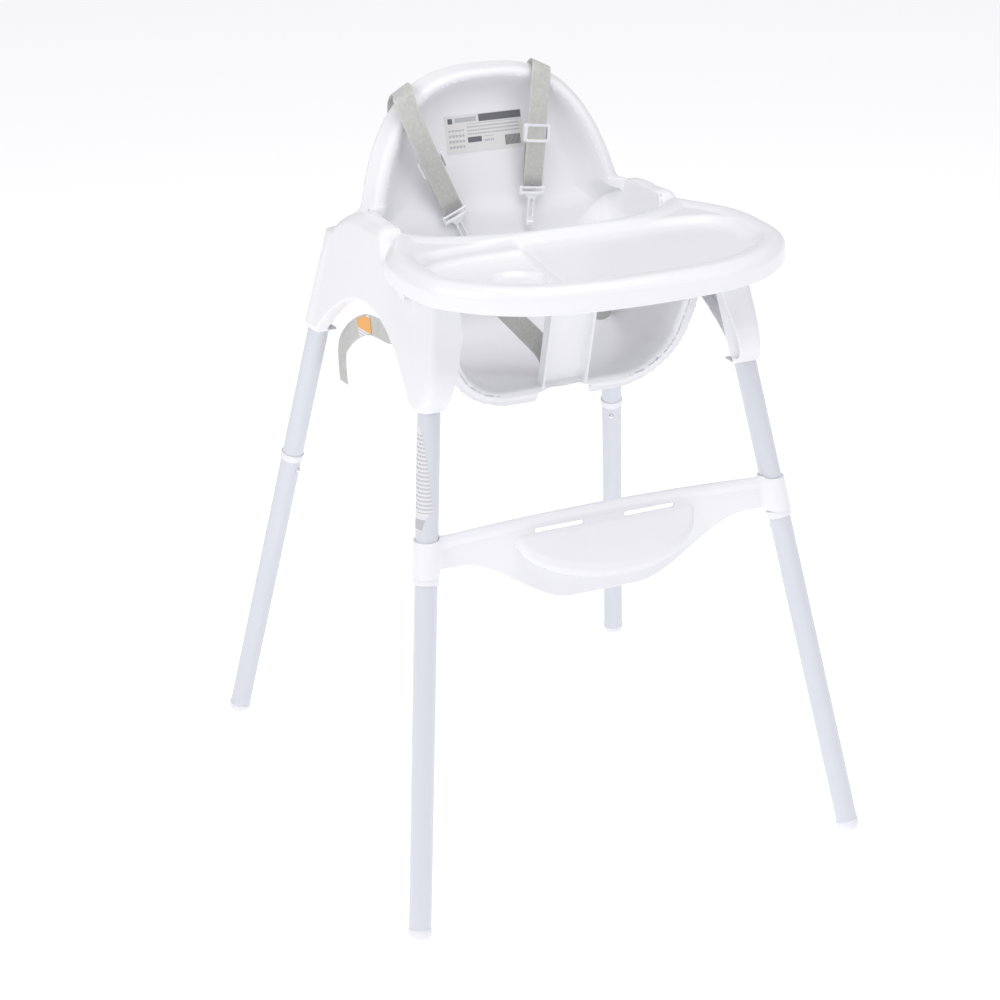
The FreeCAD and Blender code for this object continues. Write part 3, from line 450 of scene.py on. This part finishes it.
def make_footrest():
    step = 1.5
    piece = moulded("footrest_moulding", footrest_field, (-252, -266, 326), (252, -180, 444), step)
    finish_piece(piece, "chair", ["footrest"], footrest_plastic)


# ---------------------------------------------------------------- legs
def leg_point(corner, z):
    sx, sy = corner
    drop = MOUTH[2] - z
    return Vector((sx * (MOUTH[0] + SPLAY[0] * drop), sy * (MOUTH[1] + SPLAY[1] * drop), z))


def lathe(name, profile, start, end, turns=64):
    """Turn a closed profile of (radius, height) about the line from start towards end."""
    axis = (end - start).normalized()
    side = axis.orthogonal().normalized()
    other = axis.cross(side)
    points, faces = [], []
    for k in range(turns):
        a = 2 * math.pi * k / turns
        out = side * math.cos(a) + other * math.sin(a)
        points += [(start + out * r + axis * h) * MM for r, h in profile]
    n = len(profile)
    for k in range(turns):
        one, two = k * n, (k + 1) % turns * n
        faces += [(one + i, two + i, two + (i + 1) % n, one + (i + 1) % n) for i in range(n)]
    return mesh_object(name, points, faces)


def rounded_ring(r0, r1, height, edge, steps=5):
    """Ring section with its two outer corners rounded."""
    profile = [(r0, 0.0)]
    for cx, cz, a0 in ((r1 - edge, edge, -90), (r1 - edge, height - edge, 0)):
        for k in range(steps + 1):
            a = math.radians(a0 + 90 * k / steps)
            profile.append((cx + edge * math.cos(a), cz + edge * math.sin(a)))
    return profile + [(r0, height)]


def make_legs():
    for name, corner in CORNERS.items():
        ring = lathe(f"ring_{name}", rounded_ring(TUBE_R + 0.05, 14.4, RING_Z[1] - RING_Z[0], 1.2),
                     leg_point(corner, RING_Z[0]), leg_point(corner, RING_Z[1]))
        finish_piece(ring, "chair", [f"leg_ring_{name}"], ring_plastic)
        centre = leg_point(corner, FOOT_R - 1.0)
        top = leg_point(corner, CAP_TOP_Z + 3.0)
        length = (top - centre).length
        dome = [(FOOT_R * math.sin(a), -FOOT_R * math.cos(a)) for a in np.linspace(0.012, math.pi / 2, 20)]
        profile = dome + [(FOOT_R, length - 0.9), (FOOT_R - 0.3, length - 0.3), (TUBE_R + 0.1, length),
                          (0.1, length)]
        cap = lathe(f"cap_{name}", profile, centre, top)
        for vertex in cap.data.vertices:
            vertex.co.z = max(vertex.co.z, 0.0)
        finish_piece(cap, "chair", [f"foot_cap_{name}"], cap_plastic)
        for part in ("upper_leg", "lower_leg"):
            repaint(f"{part}_{name}", leg_paint)
        repaint(f"leg_button_{name}", chrome)
        repaint(f"leg_clip_{name}", spring_steel)
    repaint("leg_screws", screw_steel)


# ---------------------------------------------------------------- harness
SHOULDER_ROUTES = {
    "left": [((-96, 119.0, 705), (1, 0, 0)), ((-97, 125.0, 735), (1, 0, 0)), ((-98, 134.0, 775), (1, 0, .1)),
             ((-99, 142.0, 815), (1, 0, .3)), ((-100, 138.6, 841), (.85, 0, .5)),
             ((-102, 131.0, 848), (.85, 0, .5)),
             ((-107, 104.0, 851), (.86, 0, .48)), ((-110, 95.4, 847), (.88, 0, .46)),
             ((-108, 91.2, 838), (.92, 0, .4)), ((-53, 87.0, 709), (.92, 0, .4))],
    "right": [((84, 119.0, 705), (1, 0, 0)), ((83, 125.0, 735), (1, 0, 0)), ((82, 134.0, 775), (1, 0, -.05)),
              ((81, 143.5, 820), (1, 0, -.2)), ((80, 142.0, 852), (.88, 0, -.44)),
              ((78, 134.0, 860), (.88, 0, -.44)),
              ((71, 107.0, 865), (.9, 0, -.4)), ((67, 99.6, 860), (.95, 0, -.3)),
              ((65, 97.2, 850), (.99, 0, -.13)), ((49.5, 88.0, 727), (.99, 0, -.13))],
}
SLIDER_AT = {"left": 0.555, "right": 0.495}
LAP_OUTSIDE = [((-145, 31, 588), (0, 0, 1)), ((-158, 33, 589), (0, 0, 1)), ((-166, 48, 592), (0, .15, 1)),
               ((-170, 74, 590), (0, .3, 1)), ((-173, 106, 576), (0, .45, 1)),
               ((-174, 132, 558), (0, .7, .8)),
               ((-175, 148, 540), (0, 1, .25)), ((-175, 150, 520), (0, 1, 0)), ((-174, 149, 496), (0, 1, 0))]
LAP_INSIDE = {
    "left": [((-145, 31, 588), (0, 0, 1)), ((-127, 31, 588), (0, 0, 1)), ((-119, 18, 590), (0, 0, 1)),
             ((-113, -6, 604), (.2, 0, 1)), ((-106, -28, 630), (.4, 0, 1)), ((-94, -39, 656), (0, 0, 1))],
    "right": [((145, 31, 588), (0, 0, 1)), ((127, 31, 588), (0, 0, 1)), ((117, 17, 589), (0, 0, 1)),
              ((88, -14, 598), (.1, 0, 1)), ((36, -34, 632), (.3, 0, 1)), ((-9.5, -39, 656), (0, 0, 1))],
}
CROTCH_ROUTE = [((2, -66, 532), (1, 0, 0)), ((0, -62, 541), (1, 0, 0)), ((0, -62, 556), (1, 0, .1)),
                ((-9, -68, 576), (.9, .1, .42)), ((-24, -60, 596), (.86, .1, .5)),
                ((-37, -47, 612), (.92, .1, .35)),
                ((-48, -40, 627), (.98, 0, .2)), ((-52, -39, 640), (1, 0, 0))]


def ribbon(name, route, width=WEBBING, thick=WEB_T, steps=8):
    """Webbing along a smooth curve: rounded edges, and a map of mm along and across it."""
    rows = np.array(smooth_curve([(*p, *a) for p, a in route], steps))
    places = rows[:, :3]
    runs = np.gradient(places, axis=0)
    runs /= np.linalg.norm(runs, axis=1, keepdims=True)
    across = rows[:, 3:]
    across = across - runs * (across * runs).sum(1, keepdims=True)
    across /= np.linalg.norm(across, axis=1, keepdims=True)
    up = np.cross(runs, across)
    half, t = width / 2, thick / 2
    flat = [(u, -t) for u in np.linspace(-half + 2.5, half - 2.5, 7)]
    section = [(-half + t, -t)] + flat + [(half - t, -t)]
    section += [(half - t * 0.3, -t * 0.7), (half, 0.0), (half - t * 0.3, t * 0.7)]
    section += [(-u, -v) for u, v in section[:9]]
    section += [(-half + t * 0.3, t * 0.7), (-half, 0.0), (-half + t * 0.3, -t * 0.7)]
    n, count = len(section), len(places)
    length = np.concatenate([[0], np.cumsum(np.linalg.norm(np.diff(places, axis=0), axis=1))])
    points, mm = [], []
    for i in range(count):
        for u, v in section:
            points.append((places[i] + across[i] * u + up[i] * v) * MM)
            mm.append((u, length[i]))
    faces = []
    for i in range(count - 1):
        one, two = i * n, (i + 1) * n
        faces += [(one + k, one + (k + 1) % n, two + (k + 1) % n, two + k) for k in range(n)]
    faces += [tuple(range(n))[::-1], tuple((count - 1) * n + k for k in range(n))]
    piece = mesh_object(name, points, faces)
    layer = piece.data.uv_layers.new(name="weave")
    for loop in piece.data.loops:
        layer.data[loop.index].uv = mm[loop.vertex_index]
    return piece


def joined(name, pieces):
    """One object of several meshes."""
    bpy.ops.object.select_all(action="DESELECT")
    for piece in pieces:
        piece.select_set(True)
    bpy.context.view_layer.objects.active = pieces[0]
    if len(pieces) > 1:
        bpy.ops.object.join()
    pieces[0].name = pieces[0].data.name = name
    return pieces[0]


def local_frame(point, along, across):
    """Matrix of a part built with its length on Z, its width on X and its face towards -Y."""
    up = Vector(along).normalized()
    side = Vector(across)
    side = (side - up * side.dot(up)).normalized()
    back = up.cross(side)
    frame_matrix = Matrix((side, back, up)).transposed().to_4x4()
    frame_matrix.translation = point
    return frame_matrix


def front_run(side):
    (high, _), (low, across) = SHOULDER_ROUTES[side][-2:]
    return Vector(high), Vector(low), across


def make_shoulder_straps():
    for side, route in SHOULDER_ROUTES.items():
        high, low, across = front_run(side)
        front = ribbon("front", route)
        slider = high.lerp(low, SLIDER_AT[side] + 0.02)
        back = [(tuple(slider + Vector((0, 1.6, 0))), across),
                (tuple(slider.lerp(low, 0.35) + Vector((0, 4.6, 0))), across),
                (tuple(slider.lerp(low, 0.75) + Vector((0, 4.0, 0))), across),
                (tuple(low + Vector((0, 1.4, 0))), across)]
        behind = ribbon("behind", back)
        piece = joined(f"shoulder_webbing_{side}", [front, behind])
        finish_piece(piece, "chair", [f"shoulder_strap_{side}"], webbing)


def mirror_route(route):
    return [((-x, y, z), (-a, b, c)) for (x, y, z), (a, b, c) in route]


def make_lap_straps():
    for side in ("left", "right"):
        outer = LAP_OUTSIDE if side == "left" else mirror_route(LAP_OUTSIDE)
        route = LAP_INSIDE[side][::-1] + outer[1:]
        piece = ribbon(f"lap_webbing_{side}", route)
        finish_piece(piece, "chair", [f"lap_strap_{side}"], webbing)
    crotch = ribbon("crotch_webbing", CROTCH_ROUTE)
    finish_piece(crotch, "chair", ["crotch_strap"], webbing)


def slider_field(x, y, z):
    outer = rmax(span(x, -16.5, 16.5), span(z, -11.2, 11.2), 4.0)
    window = rmax(span(x, -13.2, 13.2), span(z, -7.4, 7.4), 2.0)
    ring = rmax(np.maximum(outer, -window), span(y, -3.4, -1.2), 0.9)
    rails = [rmax(rmax(span(x, a, b), span(z, -11.2, 11.2), 3.0), span(y, -3.4, 3.0), 0.9)
             for a, b in ((-16.5, -13.2), (13.2, 16.5))]
    middle = rmax(rmax(span(x, -14.5, 14.5), span(z, -1.9, 1.9), 0.7), span(y, 1.3, 3.0), 0.7)
    return rmin(rmin(ring, np.minimum(*rails), 0.6), middle, 0.5)


def hook_field(x, y, z):
    bar = rmax(np.hypot(y, z + 2.0) - 1.6, span(x, -16, 16), 0.6)
    lower = rmax(rmax(span(x, -15.5, 15.5), span(z, -10.4, -6.6), 1.6), span(y, -1.6, 1.6), 0.8)
    ends = [rmax(rmax(span(x, a, b), span(z, -10.4, -0.4), 1.2), span(y, -1.6, 1.6), 0.8)
            for a, b in ((-16.2, -13.2), (13.2, 16.2))]
    loop = rmin(rmin(bar, lower, 0.6), np.minimum(*ends), 0.8)
    tongue = rmax(rmax(span(x, -4.4, 4.4), span(z, -47, -8), 1.6), span(y, -1.4, 1.4), 0.7)
    shoulders = rmax(np.abs(x) + (z + 8.0) * -0.9 - 22.0, span(z, -15, -8), 1.0)
    shoulders = rmax(shoulders, span(y, -1.4, 1.4), 0.7)
    shoulders = np.maximum(shoulders, np.abs(x) - 11.0 - (z + 8.0) * 0.9)
    barb = rmax(rmax(span(x, -4.4, 4.4), span(z, -47, -41.5), 1.4), span(y, -4.0, 1.4), 1.0)
    hook = rmin(rmin(loop, tongue, 2.0), barb, 1.0)
    hook = rmin(hook, shoulders, 1.0)
    return rmax(hook, -rmax(rmax(span(x, -1.8, 1.8), span(z, -36, -16), 1.4), span(y, -5, 5), 0.2), 0.5)


def make_strap_fittings():
    for side in ("left", "right"):
        high, low, across = front_run(side)
        at = high.lerp(low, SLIDER_AT[side])
        slider = moulded(f"slider_{side}", slider_field, (-19, -6, -14), (19, 5, 14), 0.6,
                         place=local_frame(at, high - low, across))
        finish_piece(slider, f"strap_slider_{side}", [f"strap_slider_{side}"],
                     harness_plastic)
        hook = moulded(f"hook_{side}", hook_field, (-19, -7, -50), (19, 5, 3), 0.6,
                       place=local_frame(low, high - low, across))
        finish_piece(hook, f"strap_hook_{side}", [f"strap_hook_{side}"], harness_plastic)
        repaint(f"strap_anchor_{side}", harness_plastic)


def buckle_field(x, y, z):
    case = rmax(rmax(span(x, -26, 26), span(z, -17, 19), 8.0), span(y, -8, 8), 3.5)
    side_slot = rmax(span(np.abs(x), 11, 40), span(z, -8.2, 10.2), 1.0)
    case = rmax(case, -rmax(side_slot, span(y, -2.4, 2.4), 0.8), 0.6)
    case = rmax(case, -block(x, y, z, (-14, 14), (-2, 2), (-24, -12), 0.8), 0.6)
    dish = np.hypot(x, z - 1.0)
    case = rmax(case, -rmax(dish - 13.0, y + 7.0, 0.8), 0.8)
    return rmax(case, -rmax(dish - 9.3, y + 3.0, 0.2), 0.4)


def buckle_button_field(x, y, z):
    dish = np.hypot(x, z - 1.0)
    return rmax(dish - 9.0, np.maximum(-8.8 + 0.012 * (81 - dish ** 2) - y, y + 5.2), 0.9)


def tongue_field(x, y, z):
    blade = rmax(rmax(span(x, 12, 30), span(z, -7, 9), 2.0), span(y, -1.8, 1.8), 0.8)
    plate = rmax(rmax(span(x, 27.5, 40), span(z, -16, 18), 3.0), span(y, -2.4, 2.4), 1.0)
    body = rmin(blade, plate, 1.5)
    return rmax(body, -rmax(rmax(span(x, 32.3, 36.7), span(z, -13.2, 15.2), 1.6), span(y, -6, 6), 0.2), 0.6)


def make_buckle():
    here = Matrix.Translation(BUCKLE_AT)
    case = moulded("buckle_case", buckle_field, (-29, -11, -20), (29, 11, 22), 0.8, place=here)
    finish_piece(case, "chair", ["buckle"], harness_plastic)
    button = moulded("buckle_press", buckle_button_field, (-11, -11, -10), (11, -3, 12), 0.6, place=here)
    finish_piece(button, "buckle_button", ["buckle_button"], harness_plastic)
    for side, sx in (("left", -1), ("right", 1)):
        left, right = (-43, -9) if sx < 0 else (9, 43)
        tongue = moulded(f"tongue_{side}", lambda x, y, z: tongue_field(sx * x, y, z),
                         (left, -5, -19), (right, 5, 21), 0.6, place=here)
        finish_piece(tongue, "chair", [f"buckle_tongue_{side}"], harness_plastic)


# ---------------------------------------------------------------- materials
def node_material(name):
    material = bpy.data.materials.new(name)
    material.use_nodes = True
    tree = material.node_tree
    return material, tree.nodes, tree.links, tree.nodes["Principled BSDF"]


def add(nodes, kind, **values):
    node = nodes.new(kind)
    for key, value in values.items():
        if key in node.inputs:
            node.inputs[key].default_value = value
        else:
            setattr(node, key, value)
    return node


def calculator(nodes, links):
    """Function that adds a math node fed by numbers or by other nodes, and gives its output."""
    def math_node(operation, one, two=None):
        node = add(nodes, "ShaderNodeMath", operation=operation)
        for socket, value in zip(node.inputs, (one, two)):
            if isinstance(value, (int, float)):
                socket.default_value = value
            elif value is not None:
                links.new(value, socket)
        return node.outputs[0]
    return math_node


def plastic(name, colour, roughness, grain=0.02, grain_scale=900.0, variation=0.012):
    """Moulded plastic: a fine skin texture, slow waves from the mould and slight differences of shade."""
    material, nodes, links, shader = node_material(name)
    place = add(nodes, "ShaderNodeTexCoord")
    slow = add(nodes, "ShaderNodeTexNoise", Scale=9.0, Detail=3.0)
    fine = add(nodes, "ShaderNodeTexNoise", Scale=grain_scale, Detail=2.0)
    links.new(place.outputs["Object"], slow.inputs["Vector"])
    links.new(place.outputs["Object"], fine.inputs["Vector"])
    ramp = add(nodes, "ShaderNodeValToRGB")
    dark = [c * (1 - variation) for c in colour]
    ramp.color_ramp.elements[0].color = (*dark, 1)
    ramp.color_ramp.elements[1].color = (*colour, 1)
    links.new(slow.outputs["Fac"], ramp.inputs["Fac"])
    links.new(ramp.outputs["Color"], shader.inputs["Base Color"])
    rough = add(nodes, "ShaderNodeMapRange")
    rough.inputs["To Min"].default_value = roughness - 0.05
    rough.inputs["To Max"].default_value = roughness + 0.06
    links.new(slow.outputs["Fac"], rough.inputs["Value"])
    links.new(rough.outputs["Result"], shader.inputs["Roughness"])
    bump = add(nodes, "ShaderNodeBump", Strength=grain, Distance=0.0004)
    links.new(fine.outputs["Fac"], bump.inputs["Height"])
    links.new(bump.outputs["Normal"], shader.inputs["Normal"])
    return material


def metal(name, colour, roughness, scale):
    """Bare metal with fine scratches."""
    material, nodes, links, shader = node_material(name)
    place = add(nodes, "ShaderNodeTexCoord")
    noise = add(nodes, "ShaderNodeTexNoise", Scale=scale, Detail=4.0)
    links.new(place.outputs["Object"], noise.inputs["Vector"])
    rough = add(nodes, "ShaderNodeMapRange")
    rough.inputs["To Min"].default_value = roughness * 0.7
    rough.inputs["To Max"].default_value = roughness * 1.4
    links.new(noise.outputs["Fac"], rough.inputs["Value"])
    links.new(rough.outputs["Result"], shader.inputs["Roughness"])
    bump = add(nodes, "ShaderNodeBump", Strength=0.05, Distance=0.0003)
    links.new(noise.outputs["Fac"], bump.inputs["Height"])
    links.new(bump.outputs["Normal"], shader.inputs["Normal"])
    shader.inputs["Base Color"].default_value = (*colour, 1)
    shader.inputs["Metallic"].default_value = 1.0
    return material


def powder_coat(name, colour):
    """Satin paint on the tubes, with a faint orange-peel skin."""
    material = plastic(name, colour, 0.34, grain=0.12, grain_scale=420.0, variation=0.03)
    shader = material.node_tree.nodes["Principled BSDF"]
    shader.inputs["Coat Weight"].default_value = 0.15
    return material


def webbing_material():
    """Woven polyester: ribs across the strap, a twill along it, and firm selvedges."""
    material, nodes, links, shader = node_material("webbing_weave")
    place = add(nodes, "ShaderNodeUVMap", uv_map="weave")
    split = add(nodes, "ShaderNodeSeparateXYZ")
    links.new(place.outputs["UV"], split.inputs["Vector"])

    math_node = calculator(nodes, links)

    ribs = math_node("SINE", math_node("MULTIPLY", split.outputs["Y"], 2 * math.pi / 1.1))
    warp = math_node("SINE", math_node("MULTIPLY", split.outputs["X"], 2 * math.pi / 1.6))
    twill = math_node("SINE", math_node("MULTIPLY", math_node("ADD", split.outputs["X"], split.outputs["Y"]),
                                        2 * math.pi / 2.2))
    weave = math_node("ADD", math_node("MULTIPLY", ribs, warp), math_node("MULTIPLY", twill, 0.5))
    edge = math_node("GREATER_THAN", math_node("ABSOLUTE", split.outputs["X"]), WEBBING / 2 - 2.2)
    noise = add(nodes, "ShaderNodeTexNoise", Scale=260.0, Detail=3.0)
    coords = add(nodes, "ShaderNodeTexCoord")
    links.new(coords.outputs["Object"], noise.inputs["Vector"])
    shade = math_node("ADD", math_node("MULTIPLY", weave, 0.16),
                      math_node("ADD", noise.outputs["Fac"], math_node("MULTIPLY", edge, 0.18)))
    ramp = add(nodes, "ShaderNodeValToRGB")
    ramp.color_ramp.elements[0].position = 0.15
    ramp.color_ramp.elements[0].color = (0.54, 0.54, 0.51, 1)
    ramp.color_ramp.elements[1].position = 0.85
    ramp.color_ramp.elements[1].color = (0.70, 0.70, 0.67, 1)
    links.new(shade, ramp.inputs["Fac"])
    links.new(ramp.outputs["Color"], shader.inputs["Base Color"])
    bump = add(nodes, "ShaderNodeBump", Strength=0.6, Distance=0.0003)
    links.new(math_node("ADD", weave, math_node("MULTIPLY", edge, 0.8)), bump.inputs["Height"])
    links.new(bump.outputs["Normal"], shader.inputs["Normal"])
    shader.inputs["Roughness"].default_value = 0.8
    shader.inputs["Sheen Weight"].default_value = 0.25
    return material


STRIPE_LEVEL, DASH_LEVEL = 0.1, -0.72       # where a printed line or dash starts on its wave


def label_material(name, base, origin, size, marks, rows=None):
    """Printed film. Marks are plain blocks (left, right, low, high, shade), placed as shares of the label.

    Rows are areas of fine dashes in place of lettering: the same, with counts of lines and dashes.
    """
    material, nodes, links, shader = node_material(name)
    place = add(nodes, "ShaderNodeTexCoord")
    split = add(nodes, "ShaderNodeSeparateXYZ")
    links.new(place.outputs["Object"], split.inputs["Vector"])

    math_node = calculator(nodes, links)

    def share(axis, start, length):
        return math_node("DIVIDE", math_node("SUBTRACT", split.outputs[axis], start * MM), length * MM)

    u, v = share(origin[0], origin[1], size[0]), share(origin[2], origin[3], size[1])

    def between(value, low, high):
        above = math_node("GREATER_THAN", value, low)
        return math_node("MULTIPLY", above, math_node("LESS_THAN", value, high))

    grain = add(nodes, "ShaderNodeTexNoise", Scale=700.0, Detail=2.0)
    links.new(place.outputs["Object"], grain.inputs["Vector"])
    ramp = add(nodes, "ShaderNodeValToRGB")
    ramp.color_ramp.elements[0].color = (*[c * 0.96 for c in base], 1)
    ramp.color_ramp.elements[1].color = (*base, 1)
    links.new(grain.outputs["Fac"], ramp.inputs["Fac"])
    colour = ramp.outputs["Color"]

    def over(below, mask, shade):
        mix = add(nodes, "ShaderNodeMix", data_type="RGBA")
        links.new(mask, mix.inputs["Factor"])
        links.new(below, mix.inputs["A"])
        mix.inputs["B"].default_value = (*shade, 1)
        return mix.outputs["Result"]

    for left, right, low, high, shade in marks:
        colour = over(colour, math_node("MULTIPLY", between(u, left, right), between(v, low, high)), shade)
    for left, right, low, high, lines, dashes, shade in rows or []:
        wave = math_node("SINE", math_node("MULTIPLY", v, 2 * math.pi * lines))
        stripe = math_node("GREATER_THAN", wave, STRIPE_LEVEL)
        wave = math_node("SINE", math_node("MULTIPLY", u, 2 * math.pi * dashes))
        dash = math_node("GREATER_THAN", wave, DASH_LEVEL)
        area = math_node("MULTIPLY", between(u, left, right), between(v, low, high))
        colour = over(colour, math_node("MULTIPLY", area, math_node("MULTIPLY", stripe, dash)), shade)
    links.new(colour, shader.inputs["Base Color"])
    bump = add(nodes, "ShaderNodeBump", Strength=0.04, Distance=0.0002)
    links.new(grain.outputs["Fac"], bump.inputs["Height"])
    links.new(bump.outputs["Normal"], shader.inputs["Normal"])
    shader.inputs["Roughness"].default_value = 0.42
    return material


shell_plastic = plastic("shell_plastic", (0.89, 0.89, 0.915), 0.36)
tray_plastic = plastic("tray_plastic", (0.89, 0.89, 0.91), 0.24, grain=0.01)
footrest_plastic = plastic("footrest_plastic", (0.89, 0.89, 0.915), 0.34)
ring_plastic = plastic("ring_plastic", (0.86, 0.87, 0.90), 0.32)
cap_plastic = plastic("cap_plastic", (0.84, 0.85, 0.88), 0.42)
harness_plastic = plastic("harness_plastic", (0.88, 0.88, 0.91), 0.28, grain_scale=1400.0)
leg_paint = powder_coat("leg_paint", (0.70, 0.725, 0.775))
chrome = metal("button_chrome", (0.80, 0.80, 0.82), 0.14, 900.0)
spring_steel = metal("spring_steel", (0.45, 0.45, 0.47), 0.32, 500.0)
screw_steel = metal("screw_steel", (0.55, 0.55, 0.56), 0.28, 700.0)
webbing = webbing_material()
ink, pale_ink = (0.16, 0.16, 0.18), (0.52, 0.52, 0.55)
back_film = label_material(
    "back_label_film", (0.80, 0.79, 0.78),
    ("X", -LABEL_SIZE[0] / 2, "Z", LABEL_Z - LABEL_SIZE[1] / 2), LABEL_SIZE,
    [(0.44, 0.99, 0.78, 0.97, ink), (0.28, 0.46, 0.26, 0.40, ink), (0.04, 0.10, 0.78, 0.92, ink),
     (0.13, 0.41, 0.80, 0.92, pale_ink)],
    [(0.28, 0.96, 0.46, 0.75, 11.0, 31.0, pale_ink), (0.04, 0.24, 0.12, 0.62, 7.0, 23.0, pale_ink),
     (0.49, 0.62, 0.22, 0.40, 8.0, 40.0, pale_ink), (0.76, 0.96, 0.10, 0.36, 0.3, 60.0, ink)])
leg_film = label_material("leg_label_film", (0.80, 0.80, 0.80), ("X", -230.0, "Z", 442.0), (60.0, 110.0),
                          [(0.0, 1.0, 0.04, 0.14, pale_ink)], [(0.0, 1.0, 0.2, 0.94, 26.0, 40.0, pale_ink)])
strap_film = label_material("strap_label_film", (0.86, 0.85, 0.82), ("Y", 60.0, "Z", 540.0), (60.0, 60.0),
                            [(0.0, 1.0, 0.68, 1.0, (0.86, 0.42, 0.10))],
                            [(0.0, 1.0, 0.0, 0.66, 16.0, 22.0, pale_ink)])


def paint(piece, material):
    piece.data.materials.clear()
    piece.data.materials.append(material)


def repaint(node, material):
    """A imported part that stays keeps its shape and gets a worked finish."""
    paint(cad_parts[node], material)


def finish_piece(piece, body, nodes, material):
    paint(piece, material)
    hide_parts(*nodes)
    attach(piece, body)


# ---------------------------------------------------------------- stage
FLOOR_REACH = 9.0                   # metres, from the middle to each side
LIGHTS = (("key", (-2.6, -0.9, 1.9), 1.8, 23.0), ("fill", (2.2, -2.2, 1.9), 2.0, 9.0),
          ("top", (0.1, -0.9, 3.0), 2.2, 34.0))      # name, place and size in metres, watts


def make_stage():
    reach = FLOOR_REACH
    edge = [(-reach, -reach, 0), (reach, -reach, 0), (reach, reach, 0), (-reach, reach, 0)]
    floor = mesh_object("floor", edge, [(0, 1, 2, 3)], smooth=False)
    material, nodes, links, shader = node_material("floor_pale")
    shader.inputs["Base Color"].default_value = (0.93, 0.93, 0.94, 1)
    shader.inputs["Roughness"].default_value = 0.9
    shader.inputs["Emission Color"].default_value = (1, 1, 1, 1)
    shader.inputs["Emission Strength"].default_value = 0.5
    floor.data.materials.append(material)
    world = bpy.data.worlds.new("studio")
    world.use_nodes = True
    world.node_tree.nodes["Background"].inputs["Color"].default_value = (0.96, 0.955, 1.0, 1)
    world.node_tree.nodes["Background"].inputs["Strength"].default_value = 0.45
    bpy.context.scene.world = world
    for name, place, size, power in LIGHTS:
        light = bpy.data.lights.new(name, "AREA")
        light.size = size
        light.energy = power
        lamp = bpy.data.objects.new(name, light)
        lamp.location = place
        aim = Vector((0, 0, 0.5)) - Vector(place)
        lamp.rotation_euler = aim.to_track_quat("-Z", "Y").to_euler()
        bpy.context.scene.collection.objects.link(lamp)
    scene = bpy.context.scene
    scene.view_settings.view_transform = "Standard"


def make_camera():
    yaw, pitch, roll = 0.4299, -0.3906, -0.0084
    ahead = Vector((math.sin(yaw) * math.cos(pitch), math.cos(yaw) * math.cos(pitch), math.sin(pitch)))
    right = Vector((math.cos(yaw), -math.sin(yaw), 0))
    up = right.cross(ahead)
    across = right * math.cos(roll) + up * math.sin(roll)
    over = up * math.cos(roll) - right * math.sin(roll)
    data = bpy.data.cameras.new("camera")
    data.lens = 84.54
    data.sensor_width = 36.0
    data.clip_end = 50.0
    camera = bpy.data.objects.new("camera", data)
    matrix = Matrix((across, over, -ahead)).transposed().to_4x4()
    matrix.translation = Vector((-1.1206, -2.3644, 1.4433))
    camera.matrix_world = matrix
    bpy.context.scene.collection.objects.link(camera)
    bpy.context.scene.camera = camera


make_stage()
make_camera()
make_seat_shell()
make_tray()
make_footrest()
make_legs()
make_shoulder_straps()
make_lap_straps()
make_strap_fittings()
make_buckle()
for side in ("left", "right"):
    repaint(f"tray_latch_{side}", harness_plastic)
repaint("back_label", back_film)
repaint("leg_label", leg_film)
repaint("strap_label", strap_film)
